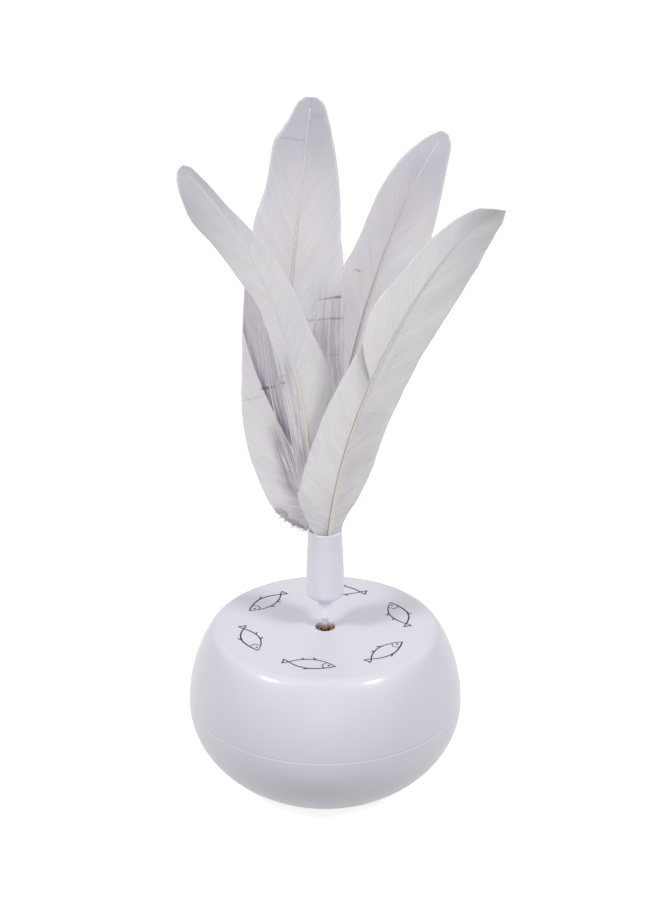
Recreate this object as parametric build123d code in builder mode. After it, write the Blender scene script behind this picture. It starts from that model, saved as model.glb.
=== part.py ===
from build123d import *
from math import acos, cos, degrees, pi, radians, sin, tan
import os

# Rotating feather cat toy. Millimetres, +Z up.
# The origin lies on the turning axis, on the surface that the toy stands on.
# -Y is the front, +X the right hand side.

os.makedirs("parts", exist_ok=True)

# General fits
overrun = 1.0
running_gap = 0.05
press_gap = 0.02
assembly_gap = 0.3
cover_gap = 0.2

# Base skin
body_radius = 48.0
body_height = 57.5
equator_height = 29.0
seam_height = 30.2
foot_drop = 0.6
flat_radius = 29.1
toe_slope = 29.4
toe_pull = 11.2
lower_side_pull = 13.3
upper_side_pull = 13.8
crease_radius = 38.9
crease_slope = 50.0
crease_pull = 3.2
crease_blend = 2.0
skin_curve_radius = 30.0
wall = 2.2
lip_height = 2.0
seam_chamfer = 0.3

# Centre hole, its boss and its bush
hole_radius = 3.45
hole_round = 0.35
boss_radius = 6.2
boss_share = 0.19
bush_radius = 2.9
bush_sink = 0.9
bush_pocket_depth = 2.4
bush_pocket_gap = 0.42
hole_depth = 5.0

# Battery bay, for three cells side by side
cell_radius = 5.25
cell_length = 43.5
cell_tip_radius = 1.9
cell_tip_length = 1.0
cell_pitch = 11.0
cell_crimp = 0.5
bay_half_width = 17.0
bay_half_length = 24.9
bay_height = 11.4
bay_wall = 1.6
floor_thickness = 3.2
floor_pad_radius = 27.5
opening_half_width = 17.0
opening_half_length = 24.0
opening_corner = 5.0

# Battery door, its screw and its pad
door_half_width = 18.0
door_half_length = 25.0
door_corner = 6.5
door_thickness = 1.8
door_rib_thickness = 1.0
door_rib_height = 2.4
door_rib_half_length = 18.0
lug_x = -22.2
lug_radius = 4.0
pad_radius = 12.0
pad_thickness = 1.15
pad_pocket_depth = 0.6
small_head_radius = 2.1
small_head_height = 0.9
door_screw_length = 8.0
door_boss_height = 7.0

# Contacts
plate_thickness = 0.4
plate_width = 8.4
plate_height = 8.2
tab_width = 3.0
tab_height = 1.6
spring_wire = 0.3
spring_radius = 2.8
spring_turns = 3

# Feet
foot_x = 22.3
foot_y = 13.0
foot_radius = 2.9
foot_pocket_depth = 0.8
foot_round = 0.25

# Shell screws and their posts
post_offset = 24.7
post_radius = 3.2
tube_radius = 3.9
access_radius = 2.8
tube_height = 22.2
tube_web = 2.2
shell_head_radius = 2.5
shell_head_height = 1.8
shell_screw_length = 10.0
screw_radius = 1.2
recess_width = 0.6
recess_depth = 0.6
recess_reach_share = 0.67

# Slide switch on the underside
switch_x = 23.5
switch_width = 6.0
switch_length = 12.0
switch_height = 5.5
switch_travel = 3.0
knob_width = 3.2
knob_length = 4.4
knob_recess = 0.5
knob_slot_margin = 0.3
knob_groove = 0.4
stem_width = 2.4
stem_length = 3.0
stem_height = 2.4
terminal_size = 1.0
terminal_height = 0.6
terminal_offset = 3.5

# Gear train: three reductions of ten teeth into forty
# Its heights are shares of the room between the battery bay and the top
gear_module = 0.5
pressure_angle = 25.0
pinion_teeth = 10
wheel_teeth = 40
addendum_share = 0.9
dedendum_share = 1.2
backlash = 0.1
flank_shares = [0, 0.33, 0.67, 1]
gear_face_share = 0.057
gear_gap_share = 0.0143
second_gear_angle = 0.0
first_gear_angle = 100.0
motor_angle = 170.0
axle_radius = 1.0
thin_hub_radius = 1.6
upper_hub_share = 0.05
axial_play = 0.3
spindle_radius = 1.5
spindle_tip_radius = 1.2
spindle_reach = 8.3
collar_radius = 3.0
output_hub_radius = 3.4
output_hole_radius = 1.7
output_hole_share = 0.66
output_hole_count = 4

# Gearbox plates on four pillars
gearbox_low_share = 0.366
gearbox_plate_share = 0.057
blind_share = 0.75
pillar_left = -18.0
pillar_right = 27.0
pillar_front = -12.0
pillar_back = 15.0
pillar_radius = 2.8
plate_margin = 4.4
plate_corner = 4.0
gearbox_head_radius = 2.4
gearbox_head_height = 1.6
gearbox_screw_bite = 8.0

# Motor
motor_radius = 12.2
motor_can_share = 0.25
motor_can_wall = 0.8
motor_cap_share = 0.038
motor_boss_radius = 3.0
motor_boss_share = 0.58
motor_shaft_radius = 1.0
magnet_thickness = 1.9
magnet_share = 0.71
armature_radius = 8.9
armature_share = 0.62
armature_slot = 1.4
armature_arms = 3
motor_screw_offset = 8.0
motor_screw_turn = 80.0
motor_screw_radius = 0.9
motor_screw_head = 1.8
motor_screw_head_height = 1.1
motor_tab_turn = 30.0
motor_tab_width = 2.4
motor_tab_inner = 8.1
motor_tab_reach = 14.6
motor_wire_reach = 13.6

# Wires
wire_radius = 0.6
wire_rise_share = 0.19
wire_bow = 3.0
wire_swell = 1.0
bend_share = 0.45

# Rod, sleeve and quill plug
rod_clearance = 4.1
rod_radius = 2.25
rod_grip = 4.0
rod_end_gap = 2.3
sleeve_rise = 6.4
sleeve_length = 27.7
sleeve_neck_height = 1.2
sleeve_neck_radius = 2.95
sleeve_shoulder_height = 3.0
shoulder_out_share = 0.6
shoulder_up_share = 0.35
sleeve_wide_radius = 6.7
sleeve_mouth_radius = 5.9
sleeve_bore_radius = 5.3
lip_round = 0.2
plug_sink = 4.2
quill_radius = 1.0
quill_depth = 9.2

# Feathers
vane_thickness = 0.5
edge_thickness = 0.3
tall_length = 158.0
tall_width = 36.0
front_right_length = 150.0
front_right_width = 26.0
front_left_length = 152.0
front_left_width = 24.0
rear_right_length = 150.0
rear_right_width = 28.0
rear_left_length = 142.0
rear_left_width = 28.0
quill_pitch = 1.9
quill_outer_share = 0.85
quill_row = 1.8

# Places worked out from the sizes above
body_floor = foot_drop
roof = body_height - wall
ledge_top = body_floor + floor_thickness
door_top = body_floor + door_thickness
bay_ceiling = door_top + bay_height
bay_top = bay_ceiling + bay_wall
cell_height = door_top + assembly_gap + cell_radius
stack_room = body_height - bay_top
gear_face = stack_room * gear_face_share
gear_level_gap = stack_room * gear_gap_share
gearbox_plate = stack_room * gearbox_plate_share
gearbox_low = bay_top + stack_room * gearbox_low_share
gearbox_floor = gearbox_low + gearbox_plate
centre_distance = gear_module * (pinion_teeth + wheel_teeth) / 2
level_c = gearbox_floor + gear_level_gap
level_b = level_c + gear_face + gear_level_gap
level_a = level_b + gear_face + gear_level_gap
gearbox_ceiling = level_a + gear_face + stack_room * upper_hub_share
gearbox_top = gearbox_ceiling + gearbox_plate
pivot_depth = gearbox_plate * blind_share
motor_can_height = stack_room * motor_can_share
motor_boss_height = gearbox_plate * motor_boss_share
magnet_height = motor_can_height * magnet_share
armature_height = motor_can_height * armature_share
motor_top = gearbox_low
motor_cap_top = motor_top - motor_can_height
motor_cap_low = motor_cap_top - stack_room * motor_cap_share
wire_rise = stack_room * wire_rise_share
boss_low = body_height - stack_room * boss_share
bush_top = body_height - bush_sink
rod_foot = body_height + rod_clearance
spindle_tip = rod_foot + spindle_reach
sleeve_foot = rod_foot + sleeve_rise
sleeve_mouth = sleeve_foot + sleeve_length
plug_top = sleeve_mouth - plug_sink
quill_hole_foot = plug_top - quill_depth
rod_top = quill_hole_foot - rod_end_gap
sleeve_floor = rod_top - rod_grip


def polar(start, distance, angle):
    """The point at this distance and angle in degrees from a start point."""
    return (start[0] + distance * cos(radians(angle)), start[1] + distance * sin(radians(angle)))


spindle_place = (0, 0)
second_gear_place = polar(spindle_place, centre_distance, second_gear_angle)
first_gear_place = polar(second_gear_place, centre_distance, first_gear_angle)
motor_place = polar(first_gear_place, centre_distance, motor_angle)
post_places = [(side * post_offset, end * post_offset) for side in (-1, 1) for end in (-1, 1)]
pillar_places = [(x, y) for x in (pillar_left, pillar_right) for y in (pillar_front, pillar_back)]
foot_places = [(side * foot_x, end * foot_y) for side in (-1, 1) for end in (-1, 1)]
motor_screw_places = [
    polar(motor_place, motor_screw_offset, motor_screw_turn + half) for half in (0, 180)
]
motor_tab_angles = [270 + side * motor_tab_turn for side in (-1, 1)]


def finish(part, name):
    """Label one finished piece and write its file."""
    part.label = name
    export_step(part, f"parts/{name}.step")


def column(places, radius, low, high, mode=Mode.ADD):
    """Upright round columns or bores at these places."""
    with BuildSketch(Plane.XY.offset(low)) as section:
        with Locations(*places):
            Circle(radius)
    extrude(section.sketch, amount=high - low, mode=mode)


def block(centre, width, length, low, high, mode=Mode.ADD, corner=0):
    """An upright block, with rounded upright corners where a corner radius is given."""
    with BuildSketch(Plane.XY.offset(low)) as section:
        with Locations(centre):
            if corner > 0:
                RectangleRounded(width, length, corner)
            else:
                Rectangle(width, length)
    extrude(section.sketch, amount=high - low, mode=mode)


# Base skin

def base_outline(inset):
    """Half of the base's outline, drawn this far inside its outer skin."""
    pull = 1 - inset / skin_curve_radius
    low = body_floor + inset
    high = body_height - inset
    side = body_radius - inset
    toe = (flat_radius - inset * tan(radians(toe_slope) / 2), low)
    toe_handle = polar(toe, toe_pull * pull, toe_slope)
    crease = (crease_radius - inset * tan(radians(crease_slope) / 2), high)
    blend_start = polar(crease, crease_blend, -crease_slope)
    crease_handle = polar(blend_start, crease_pull * pull, -crease_slope)
    blend_end = (crease[0] - crease_blend, high)
    equator = (side, equator_height)
    Line((0, high), (0, low))
    Line((0, low), toe)
    Bezier(toe, toe_handle, (side, equator_height - lower_side_pull * pull), equator)
    Bezier(equator, (side, equator_height + upper_side_pull * pull), crease_handle, blend_start)
    Bezier(blend_start, crease, blend_end)
    Line(blend_end, (0, high))


with BuildPart() as outer_form:
    with BuildSketch(Plane.XZ):
        with BuildLine():
            base_outline(0)
        make_face()
    revolve(axis=Axis.Z)

with BuildPart() as inner_form:
    with BuildSketch(Plane.XZ):
        with BuildLine():
            base_outline(wall)
        make_face()
    revolve(axis=Axis.Z)


# Lower shell: the bowl with the battery bay, screw tubes and gearbox pillars

with BuildPart() as lower_fittings:
    column([(0, 0)], floor_pad_radius, body_floor, ledge_top)
    block(
        (0, 0), 2 * (bay_half_width + bay_wall), 2 * (bay_half_length + bay_wall), body_floor, bay_top
    )
    column(post_places, tube_radius, body_floor, tube_height)
    column(pillar_places, pillar_radius, body_floor, gearbox_low)
    column([(lug_x, 0)], post_radius, body_floor, ledge_top + door_boss_height)
    add(outer_form.part, mode=Mode.INTERSECT)

with BuildPart() as lower_shell:
    add(outer_form.part)
    add(inner_form.part, mode=Mode.SUBTRACT)
    split(bisect_by=Plane.XY.offset(seam_height), keep=Keep.BOTTOM)
    seam_edges = lower_shell.edges().filter_by(GeomType.CIRCLE).group_by(Axis.Z)[-1]
    chamfer(seam_edges.sort_by(SortBy.LENGTH)[-1], seam_chamfer)
    lip_top = seam_height + lip_height
    column([(0, 0)], body_radius - wall / 2 - assembly_gap, seam_height - wall, lip_top)
    column([(0, 0)], body_radius - wall, seam_height - 2 * wall, lip_top + overrun, Mode.SUBTRACT)
    add(lower_fittings.part)
    # Door recess, opening and bay
    block(
        (0, 0),
        2 * (door_half_width + cover_gap),
        2 * (door_half_length + cover_gap),
        body_floor - overrun,
        door_top,
        Mode.SUBTRACT,
        door_corner + cover_gap,
    )
    column([(lug_x, 0)], lug_radius + cover_gap, body_floor - overrun, door_top, Mode.SUBTRACT)
    block(
        (lug_x / 2, 0),
        -lug_x,
        2 * (lug_radius + cover_gap),
        body_floor - overrun,
        door_top,
        Mode.SUBTRACT,
    )
    block(
        (0, 0),
        2 * opening_half_width,
        2 * opening_half_length,
        body_floor - overrun,
        bay_ceiling,
        Mode.SUBTRACT,
        opening_corner,
    )
    block((0, 0), 2 * bay_half_width, 2 * bay_half_length, ledge_top, bay_ceiling, Mode.SUBTRACT)
    # Slits in the bay's roof for the two solder tabs
    for side in (-1, 1):
        block(
            (side * cell_pitch, side * (bay_half_length - plate_thickness)),
            tab_width + 2 * cover_gap,
            2 * plate_thickness,
            bay_ceiling - overrun,
            bay_top + overrun,
            Mode.SUBTRACT,
        )
    # Bores for screws
    column(post_places, access_radius, body_floor - overrun, tube_height - tube_web, Mode.SUBTRACT)
    column(post_places, screw_radius + cover_gap, body_floor, tube_height + overrun, Mode.SUBTRACT)
    column(
        pillar_places,
        screw_radius + running_gap,
        gearbox_low - gearbox_screw_bite - assembly_gap,
        gearbox_low + overrun,
        Mode.SUBTRACT,
    )
    column(
        [(lug_x, 0)],
        screw_radius + running_gap,
        body_floor,
        body_floor + small_head_height + door_screw_length + 2 * assembly_gap,
        Mode.SUBTRACT,
    )
    # Slot for the switch knob and pockets for the feet
    block(
        (switch_x, 0),
        knob_width + 2 * assembly_gap,
        knob_length + switch_travel + 2 * knob_slot_margin,
        body_floor - overrun,
        ledge_top + overrun,
        Mode.SUBTRACT,
    )
    column(
        foot_places,
        foot_radius + running_gap,
        body_floor - overrun,
        body_floor + foot_pocket_depth,
        Mode.SUBTRACT,
    )
finish(lower_shell.part, "lower_shell")


# Upper shell: the dome with its flat top, centre boss and screw posts

with BuildPart() as upper_fittings:
    column(post_places, post_radius, tube_height, roof + wall / 2)
    column([(0, 0)], boss_radius, boss_low, roof + wall / 2)

with BuildPart() as upper_shell:
    add(outer_form.part)
    add(inner_form.part, mode=Mode.SUBTRACT)
    split(bisect_by=Plane.XY.offset(seam_height), keep=Keep.TOP)
    column(
        [(0, 0)],
        body_radius - wall / 2,
        seam_height - overrun,
        seam_height + lip_height + cover_gap,
        Mode.SUBTRACT,
    )
    seam_edges = upper_shell.edges().filter_by(GeomType.CIRCLE).group_by(Axis.Z)[0]
    chamfer(seam_edges.sort_by(SortBy.LENGTH)[-1], seam_chamfer)
    add(upper_fittings.part)
    column([(0, 0)], hole_radius, body_height - hole_depth, body_height + overrun, Mode.SUBTRACT)
    column([(0, 0)], bush_radius + press_gap, boss_low - overrun, body_height, Mode.SUBTRACT)
    column(
        post_places,
        screw_radius + running_gap,
        tube_height - overrun,
        tube_height - tube_web + shell_screw_length + assembly_gap,
        Mode.SUBTRACT,
    )
    top_edges = upper_shell.edges().filter_by(GeomType.CIRCLE).group_by(Axis.Z)[-1]
    fillet(top_edges.sort_by(SortBy.LENGTH)[0], hole_round)
finish(upper_shell.part, "upper_shell")


# Bronze bush pressed into the centre boss

with BuildPart() as top_bush:
    column([(0, 0)], bush_radius, boss_low, bush_top)
    column([(0, 0)], spindle_radius + running_gap, boss_low - overrun, bush_top + overrun, Mode.SUBTRACT)
    column(
        [(0, 0)],
        spindle_tip_radius + bush_pocket_gap,
        bush_top - bush_pocket_depth,
        bush_top + overrun,
        Mode.SUBTRACT,
    )
    bush_rims = top_bush.edges().filter_by(GeomType.CIRCLE).group_by(Axis.Z)[-1]
    chamfer(bush_rims, cover_gap)
finish(top_bush.part, "top_bush")


# Feet and the pad under the battery door

with BuildPart() as rubber_feet:
    column(foot_places, foot_radius, 0, body_floor + foot_pocket_depth - running_gap)
    fillet(rubber_feet.edges().group_by(Axis.Z)[0], foot_round)
finish(rubber_feet.part, "rubber_feet")

with BuildPart() as anti_slip_pad:
    column([(0, 0)], pad_radius, 0, pad_thickness)
    fillet(anti_slip_pad.edges().group_by(Axis.Z)[0], foot_round)
finish(anti_slip_pad.part, "anti_slip_pad")


# Battery door with its screw lug and its two locating ribs

with BuildPart() as battery_door:
    block((0, 0), 2 * door_half_width, 2 * door_half_length, body_floor, door_top, Mode.ADD, door_corner)
    column([(lug_x, 0)], lug_radius, body_floor, door_top)
    block((lug_x / 2, 0), -lug_x, 2 * lug_radius, body_floor, door_top)
    for side in (-1, 1):
        block(
            (side * (opening_half_width - assembly_gap - door_rib_thickness / 2), 0),
            door_rib_thickness,
            2 * door_rib_half_length,
            door_top,
            door_top + door_rib_height,
        )
    column(
        [(0, 0)],
        pad_radius + running_gap,
        body_floor - overrun,
        body_floor + pad_pocket_depth,
        Mode.SUBTRACT,
    )
    column(
        [(lug_x, 0)],
        small_head_radius + cover_gap,
        body_floor - overrun,
        body_floor + small_head_height + running_gap,
        Mode.SUBTRACT,
    )
    column([(lug_x, 0)], screw_radius + running_gap, body_floor, door_top + overrun, Mode.SUBTRACT)
finish(battery_door.part, "battery_door")


def cross_recess(places, level, head_radius):
    """Cut the cross that a screwdriver fits, upwards from the underside of a screw's head."""
    span = 2 * head_radius * recess_reach_share
    for place in places:
        block(place, span, recess_width, level - overrun, level + recess_depth, Mode.SUBTRACT)
        block(place, recess_width, span, level - overrun, level + recess_depth, Mode.SUBTRACT)


with BuildPart() as door_screw:
    column([(lug_x, 0)], small_head_radius, body_floor, body_floor + small_head_height)
    column([(lug_x, 0)], screw_radius, body_floor, body_floor + small_head_height + door_screw_length)
    cross_recess([(lug_x, 0)], body_floor, small_head_radius)
finish(door_screw.part, "door_screw")

with BuildPart() as shell_screws:
    shell_head_low = tube_height - tube_web - shell_head_height
    column(post_places, shell_head_radius, shell_head_low, shell_head_low + shell_head_height)
    column(post_places, screw_radius, shell_head_low, tube_height - tube_web + shell_screw_length)
    cross_recess(post_places, shell_head_low, shell_head_radius)
finish(shell_screws.part, "shell_screws")


# Three cells, the middle one turned round

contact_face = bay_half_length - plate_thickness


def cell_way(column_number):
    """+1 where the cell's tip points back, -1 where it points to the front."""
    return -1 if column_number == 0 else 1


with BuildPart() as battery_cells:
    for number in (-1, 0, 1):
        way = cell_way(number)
        tip = Plane(
            origin=(number * cell_pitch, way * (contact_face - running_gap), cell_height),
            x_dir=(1, 0, 0),
            z_dir=(0, -way, 0),
        )
        with BuildSketch(tip) as tip_section:
            Circle(cell_tip_radius)
        extrude(tip_section.sketch, amount=cell_tip_length + cell_crimp)
        with BuildSketch(tip.offset(cell_tip_length)) as can_section:
            Circle(cell_radius)
        extrude(can_section.sketch, amount=cell_length)
    rims = battery_cells.edges().filter_by(GeomType.CIRCLE).filter_by(
        lambda edge: abs(edge.radius - cell_radius) < running_gap
    )
    fillet(rims, cell_crimp)
finish(battery_cells.part, "battery_cells")

with BuildPart() as contact_plates:
    plate_middle = bay_half_length - plate_thickness / 2
    plate_low = cell_height - plate_height / 2
    plate_high = cell_height + plate_height / 2
    for side in (-1, 1):
        # One single plate with a solder tab, and one that links two cells
        single = (side * cell_pitch, side * plate_middle)
        block(single, plate_width, plate_thickness, plate_low, plate_high)
        block(single, tab_width, plate_thickness, plate_low, bay_top + tab_height)
        block(
            (-side * cell_pitch / 2, side * plate_middle),
            cell_pitch + plate_width,
            plate_thickness,
            plate_low,
            plate_high,
        )
finish(contact_plates.part, "contact_plates")

with BuildPart() as contact_springs:
    spring_length = 2 * contact_face - cell_length - cell_tip_length - running_gap
    coil_length = spring_length - 2 * spring_wire - 2 * running_gap
    for number in (-1, 0, 1):
        way = cell_way(number)
        spring_start = -way * (contact_face - spring_wire - running_gap)
        with BuildLine() as coil:
            Helix(
                pitch=coil_length / spring_turns,
                height=coil_length,
                radius=spring_radius,
                center=(number * cell_pitch, spring_start, cell_height),
                direction=(0, way, 0),
            )
        with BuildSketch(Plane(origin=coil.line @ 0, z_dir=coil.line % 0)) as coil_section:
            Circle(spring_wire)
        sweep(coil_section.sketch, path=coil.line)
finish(contact_springs.part, "contact_springs")


# Slide switch

housing_top = ledge_top + switch_height

with BuildPart() as switch_housing:
    block((switch_x, 0), switch_width, switch_length, ledge_top, housing_top)
    block(
        (switch_x, 0),
        stem_width + 2 * assembly_gap,
        stem_length + switch_travel + 2 * knob_slot_margin,
        ledge_top - overrun,
        ledge_top + stem_height,
        Mode.SUBTRACT,
    )
    chamfer(switch_housing.edges().group_by(Axis.Z)[-1], knob_groove)
finish(switch_housing.part, "switch_housing")

with BuildPart() as switch_terminals:
    for end in (-1, 1):
        block(
            (switch_x, end * terminal_offset),
            terminal_size,
            terminal_size,
            housing_top,
            housing_top + terminal_height,
        )
finish(switch_terminals.part, "switch_terminals")

with BuildPart() as switch_knob:
    knob_place = (switch_x, -switch_travel / 2)
    knob_low = body_floor + knob_recess
    knob_high = ledge_top - assembly_gap
    block(knob_place, knob_width, knob_length, knob_low, knob_high)
    block(knob_place, stem_width, stem_length, knob_high, ledge_top + stem_height - assembly_gap)
    for step in (-1, 0, 1):
        block(
            (switch_x, knob_place[1] + step * knob_length / 4),
            knob_width + overrun,
            knob_groove,
            knob_low - overrun,
            knob_low + knob_groove,
            Mode.SUBTRACT,
        )
finish(switch_knob.part, "switch_knob")


# Gearbox plates

plate_centre = ((pillar_left + pillar_right) / 2, (pillar_front + pillar_back) / 2)
plate_span_x = pillar_right - pillar_left + 2 * plate_margin
plate_span_y = pillar_back - pillar_front + 2 * plate_margin
axle_places = [first_gear_place, second_gear_place]

with BuildPart() as gearbox_lower_plate:
    block(plate_centre, plate_span_x, plate_span_y, gearbox_low, gearbox_floor, Mode.ADD, plate_corner)
    column([motor_place], motor_radius, gearbox_low, gearbox_floor)
    bore_low = gearbox_low - overrun
    bore_high = gearbox_floor + overrun
    pivot_low = gearbox_floor - pivot_depth
    column(pillar_places, screw_radius + cover_gap, bore_low, bore_high, Mode.SUBTRACT)
    column(axle_places, axle_radius + press_gap, pivot_low, bore_high, Mode.SUBTRACT)
    column([spindle_place], spindle_radius + running_gap, pivot_low, bore_high, Mode.SUBTRACT)
    column([motor_place], motor_boss_radius + cover_gap, bore_low, bore_high, Mode.SUBTRACT)
    column(motor_screw_places, motor_screw_radius + running_gap, bore_low, bore_high, Mode.SUBTRACT)
finish(gearbox_lower_plate.part, "gearbox_lower_plate")

with BuildPart() as gearbox_upper_plate:
    block(plate_centre, plate_span_x, plate_span_y, gearbox_ceiling, gearbox_top, Mode.ADD, plate_corner)
    column(pillar_places, pillar_radius, gearbox_floor, gearbox_ceiling)
    bore_low = gearbox_ceiling - overrun
    bore_high = gearbox_top + overrun
    pivot_high = gearbox_ceiling + pivot_depth
    column(pillar_places, screw_radius + cover_gap, gearbox_floor - overrun, bore_high, Mode.SUBTRACT)
    column(axle_places, axle_radius + press_gap, bore_low, pivot_high, Mode.SUBTRACT)
    column([spindle_place], spindle_radius + running_gap, bore_low, bore_high, Mode.SUBTRACT)
finish(gearbox_upper_plate.part, "gearbox_upper_plate")

with BuildPart() as gearbox_screws:
    head_top = gearbox_top + gearbox_head_height
    slot_length = 2 * gearbox_head_radius * recess_reach_share
    column(pillar_places, screw_radius, gearbox_low - gearbox_screw_bite, head_top)
    column(pillar_places, gearbox_head_radius, gearbox_top, head_top)
    for place in pillar_places:
        block(
            place, slot_length, recess_width, head_top - recess_depth, head_top + overrun, Mode.SUBTRACT
        )
finish(gearbox_screws.part, "gearbox_screws")

with BuildPart() as gear_axles:
    column(
        axle_places,
        axle_radius,
        gearbox_floor - pivot_depth + running_gap,
        gearbox_ceiling + pivot_depth - running_gap,
    )
finish(gear_axles.part, "gear_axles")


# Gears

def involute(angle):
    """The involute of a pressure angle in radians."""
    return tan(angle) - angle


def gear_points(teeth, place, phase):
    """The outline of a spur gear with the middle of one tooth at the phase angle."""
    pitch_radius = gear_module * teeth / 2
    base_radius = pitch_radius * cos(radians(pressure_angle))
    tip_radius = pitch_radius + gear_module * addendum_share
    root_radius = pitch_radius - gear_module * dedendum_share
    half_tooth = pi / (2 * teeth) - backlash / (4 * pitch_radius)
    flank_foot = max(base_radius, root_radius)
    flank = [(root_radius, base_radius)] if root_radius < base_radius else []
    for share in flank_shares:
        radius = flank_foot + (tip_radius - flank_foot) * share
        flank.append((radius, radius))
    points = []
    for tooth in range(teeth):
        middle = radians(phase) + 2 * pi * tooth / teeth
        sides = []
        for radius, measured in flank:
            pressure = acos(min(1, base_radius / measured))
            half = half_tooth + involute(radians(pressure_angle)) - involute(pressure)
            sides.append((radius, half))
        for radius, half in sides:
            points.append(polar(place, radius, degrees(middle - half)))
        for radius, half in reversed(sides):
            points.append(polar(place, radius, degrees(middle + half)))
    return points


def toothed_disc(teeth, place, phase, low):
    """One gear of the common face width, standing on this level."""
    with BuildSketch(Plane.XY.offset(low)) as section:
        with BuildLine():
            Polyline(*gear_points(teeth, place, phase), close=True)
        make_face()
    extrude(section.sketch, amount=gear_face)


pinion_half_pitch = 180 / pinion_teeth
hub_top = gearbox_ceiling - axial_play
hub_foot = gearbox_floor + axial_play

with BuildPart() as output_gear:
    toothed_disc(wheel_teeth, spindle_place, second_gear_angle, level_a)
    column([spindle_place], output_hub_radius, level_a, hub_top)
    bore_low = level_a - overrun
    bore_high = hub_top + overrun
    hole_reach = gear_module * wheel_teeth / 2 * output_hole_share
    column([spindle_place], spindle_radius + press_gap, bore_low, bore_high, Mode.SUBTRACT)
    for step in range(output_hole_count):
        hole_place = polar(spindle_place, hole_reach, step * 360 / output_hole_count)
        column([hole_place], output_hole_radius, bore_low, bore_high, Mode.SUBTRACT)
finish(output_gear.part, "output_gear")

with BuildPart() as second_gear:
    toothed_disc(pinion_teeth, second_gear_place, second_gear_angle + 180 + pinion_half_pitch, level_a)
    toothed_disc(wheel_teeth, second_gear_place, first_gear_angle, level_b)
    column([second_gear_place], thin_hub_radius, hub_foot, hub_top)
    bore_low = hub_foot - overrun
    bore_high = hub_top + overrun
    column([second_gear_place], axle_radius + running_gap, bore_low, bore_high, Mode.SUBTRACT)
finish(second_gear.part, "second_gear")

with BuildPart() as first_gear:
    toothed_disc(pinion_teeth, first_gear_place, first_gear_angle + 180 + pinion_half_pitch, level_b)
    toothed_disc(wheel_teeth, first_gear_place, motor_angle, level_c)
    column([first_gear_place], thin_hub_radius, hub_foot, hub_top)
    column([first_gear_place], axle_radius + running_gap, bore_low, bore_high, Mode.SUBTRACT)
finish(first_gear.part, "first_gear")

with BuildPart() as motor_pinion:
    toothed_disc(pinion_teeth, motor_place, motor_angle + 180 + pinion_half_pitch, level_c)
    bore_low = level_c - overrun
    bore_high = level_c + gear_face + overrun
    column([motor_place], motor_shaft_radius + press_gap, bore_low, bore_high, Mode.SUBTRACT)
finish(motor_pinion.part, "motor_pinion")


# Motor

with BuildPart() as motor_can:
    column([motor_place], motor_radius, motor_cap_top, motor_top)
    column([motor_place], motor_boss_radius, motor_top, motor_top + motor_boss_height)
    column(
        [motor_place],
        motor_radius - motor_can_wall,
        motor_cap_top - overrun,
        motor_top - motor_can_wall,
        Mode.SUBTRACT,
    )
    column(
        [motor_place],
        motor_shaft_radius + running_gap,
        motor_cap_top,
        motor_top + motor_boss_height + overrun,
        Mode.SUBTRACT,
    )
    column(
        motor_screw_places,
        motor_screw_radius + running_gap,
        motor_top - motor_can_wall - overrun,
        motor_top + overrun,
        Mode.SUBTRACT,
    )
finish(motor_can.part, "motor_can")

with BuildPart() as motor_magnet:
    magnet_radius = motor_radius - motor_can_wall - running_gap
    magnet_low = motor_cap_top + assembly_gap
    column([motor_place], magnet_radius, magnet_low, magnet_low + magnet_height)
    column(
        [motor_place],
        magnet_radius - magnet_thickness,
        magnet_low - overrun,
        magnet_low + magnet_height + overrun,
        Mode.SUBTRACT,
    )
finish(motor_magnet.part, "motor_magnet")

with BuildPart() as motor_end_cap:
    column([motor_place], motor_radius - running_gap, motor_cap_low, motor_cap_top)
    column(
        [motor_place],
        motor_shaft_radius + running_gap,
        motor_cap_low + assembly_gap,
        motor_cap_top + overrun,
        Mode.SUBTRACT,
    )
finish(motor_end_cap.part, "motor_end_cap")

with BuildPart() as motor_terminals:
    for angle in motor_tab_angles:
        tab_plane = Plane(
            origin=(*motor_place, motor_cap_low - plate_thickness),
            x_dir=(cos(radians(angle)), sin(radians(angle)), 0),
            z_dir=(0, 0, 1),
        )
        with BuildSketch(tab_plane) as tab_section:
            with Locations(((motor_tab_inner + motor_tab_reach) / 2, 0)):
                Rectangle(motor_tab_reach - motor_tab_inner, motor_tab_width)
        extrude(tab_section.sketch, amount=plate_thickness)
finish(motor_terminals.part, "motor_terminals")

with BuildPart() as motor_shaft:
    shaft_foot = motor_cap_low + 2 * assembly_gap
    column([motor_place], motor_shaft_radius, shaft_foot, level_c + gear_face + axial_play)
finish(motor_shaft.part, "motor_shaft")

with BuildPart() as motor_armature:
    armature_low = motor_cap_top + 2 * assembly_gap
    bore_low = armature_low - overrun
    bore_high = armature_low + armature_height + overrun
    column([motor_place], armature_radius, armature_low, armature_low + armature_height)
    for step in range(armature_arms):
        arm_turn = radians(step * 360 / armature_arms)
        slot_plane = Plane(
            origin=(*motor_place, bore_low), x_dir=(cos(arm_turn), sin(arm_turn), 0), z_dir=(0, 0, 1)
        )
        with BuildSketch(slot_plane) as slot_section:
            with Locations((armature_radius, 0)):
                SlotCenterToCenter(armature_radius, armature_slot)
        extrude(slot_section.sketch, amount=bore_high - bore_low, mode=Mode.SUBTRACT)
    column([motor_place], motor_shaft_radius + press_gap, bore_low, bore_high, Mode.SUBTRACT)
finish(motor_armature.part, "motor_armature")

with BuildPart() as motor_screws:
    column(motor_screw_places, motor_screw_radius, motor_top - motor_can_wall, gearbox_floor)
    column(motor_screw_places, motor_screw_head, gearbox_floor, gearbox_floor + motor_screw_head_height)
finish(motor_screws.part, "motor_screws")


# Spindle and its collar

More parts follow.
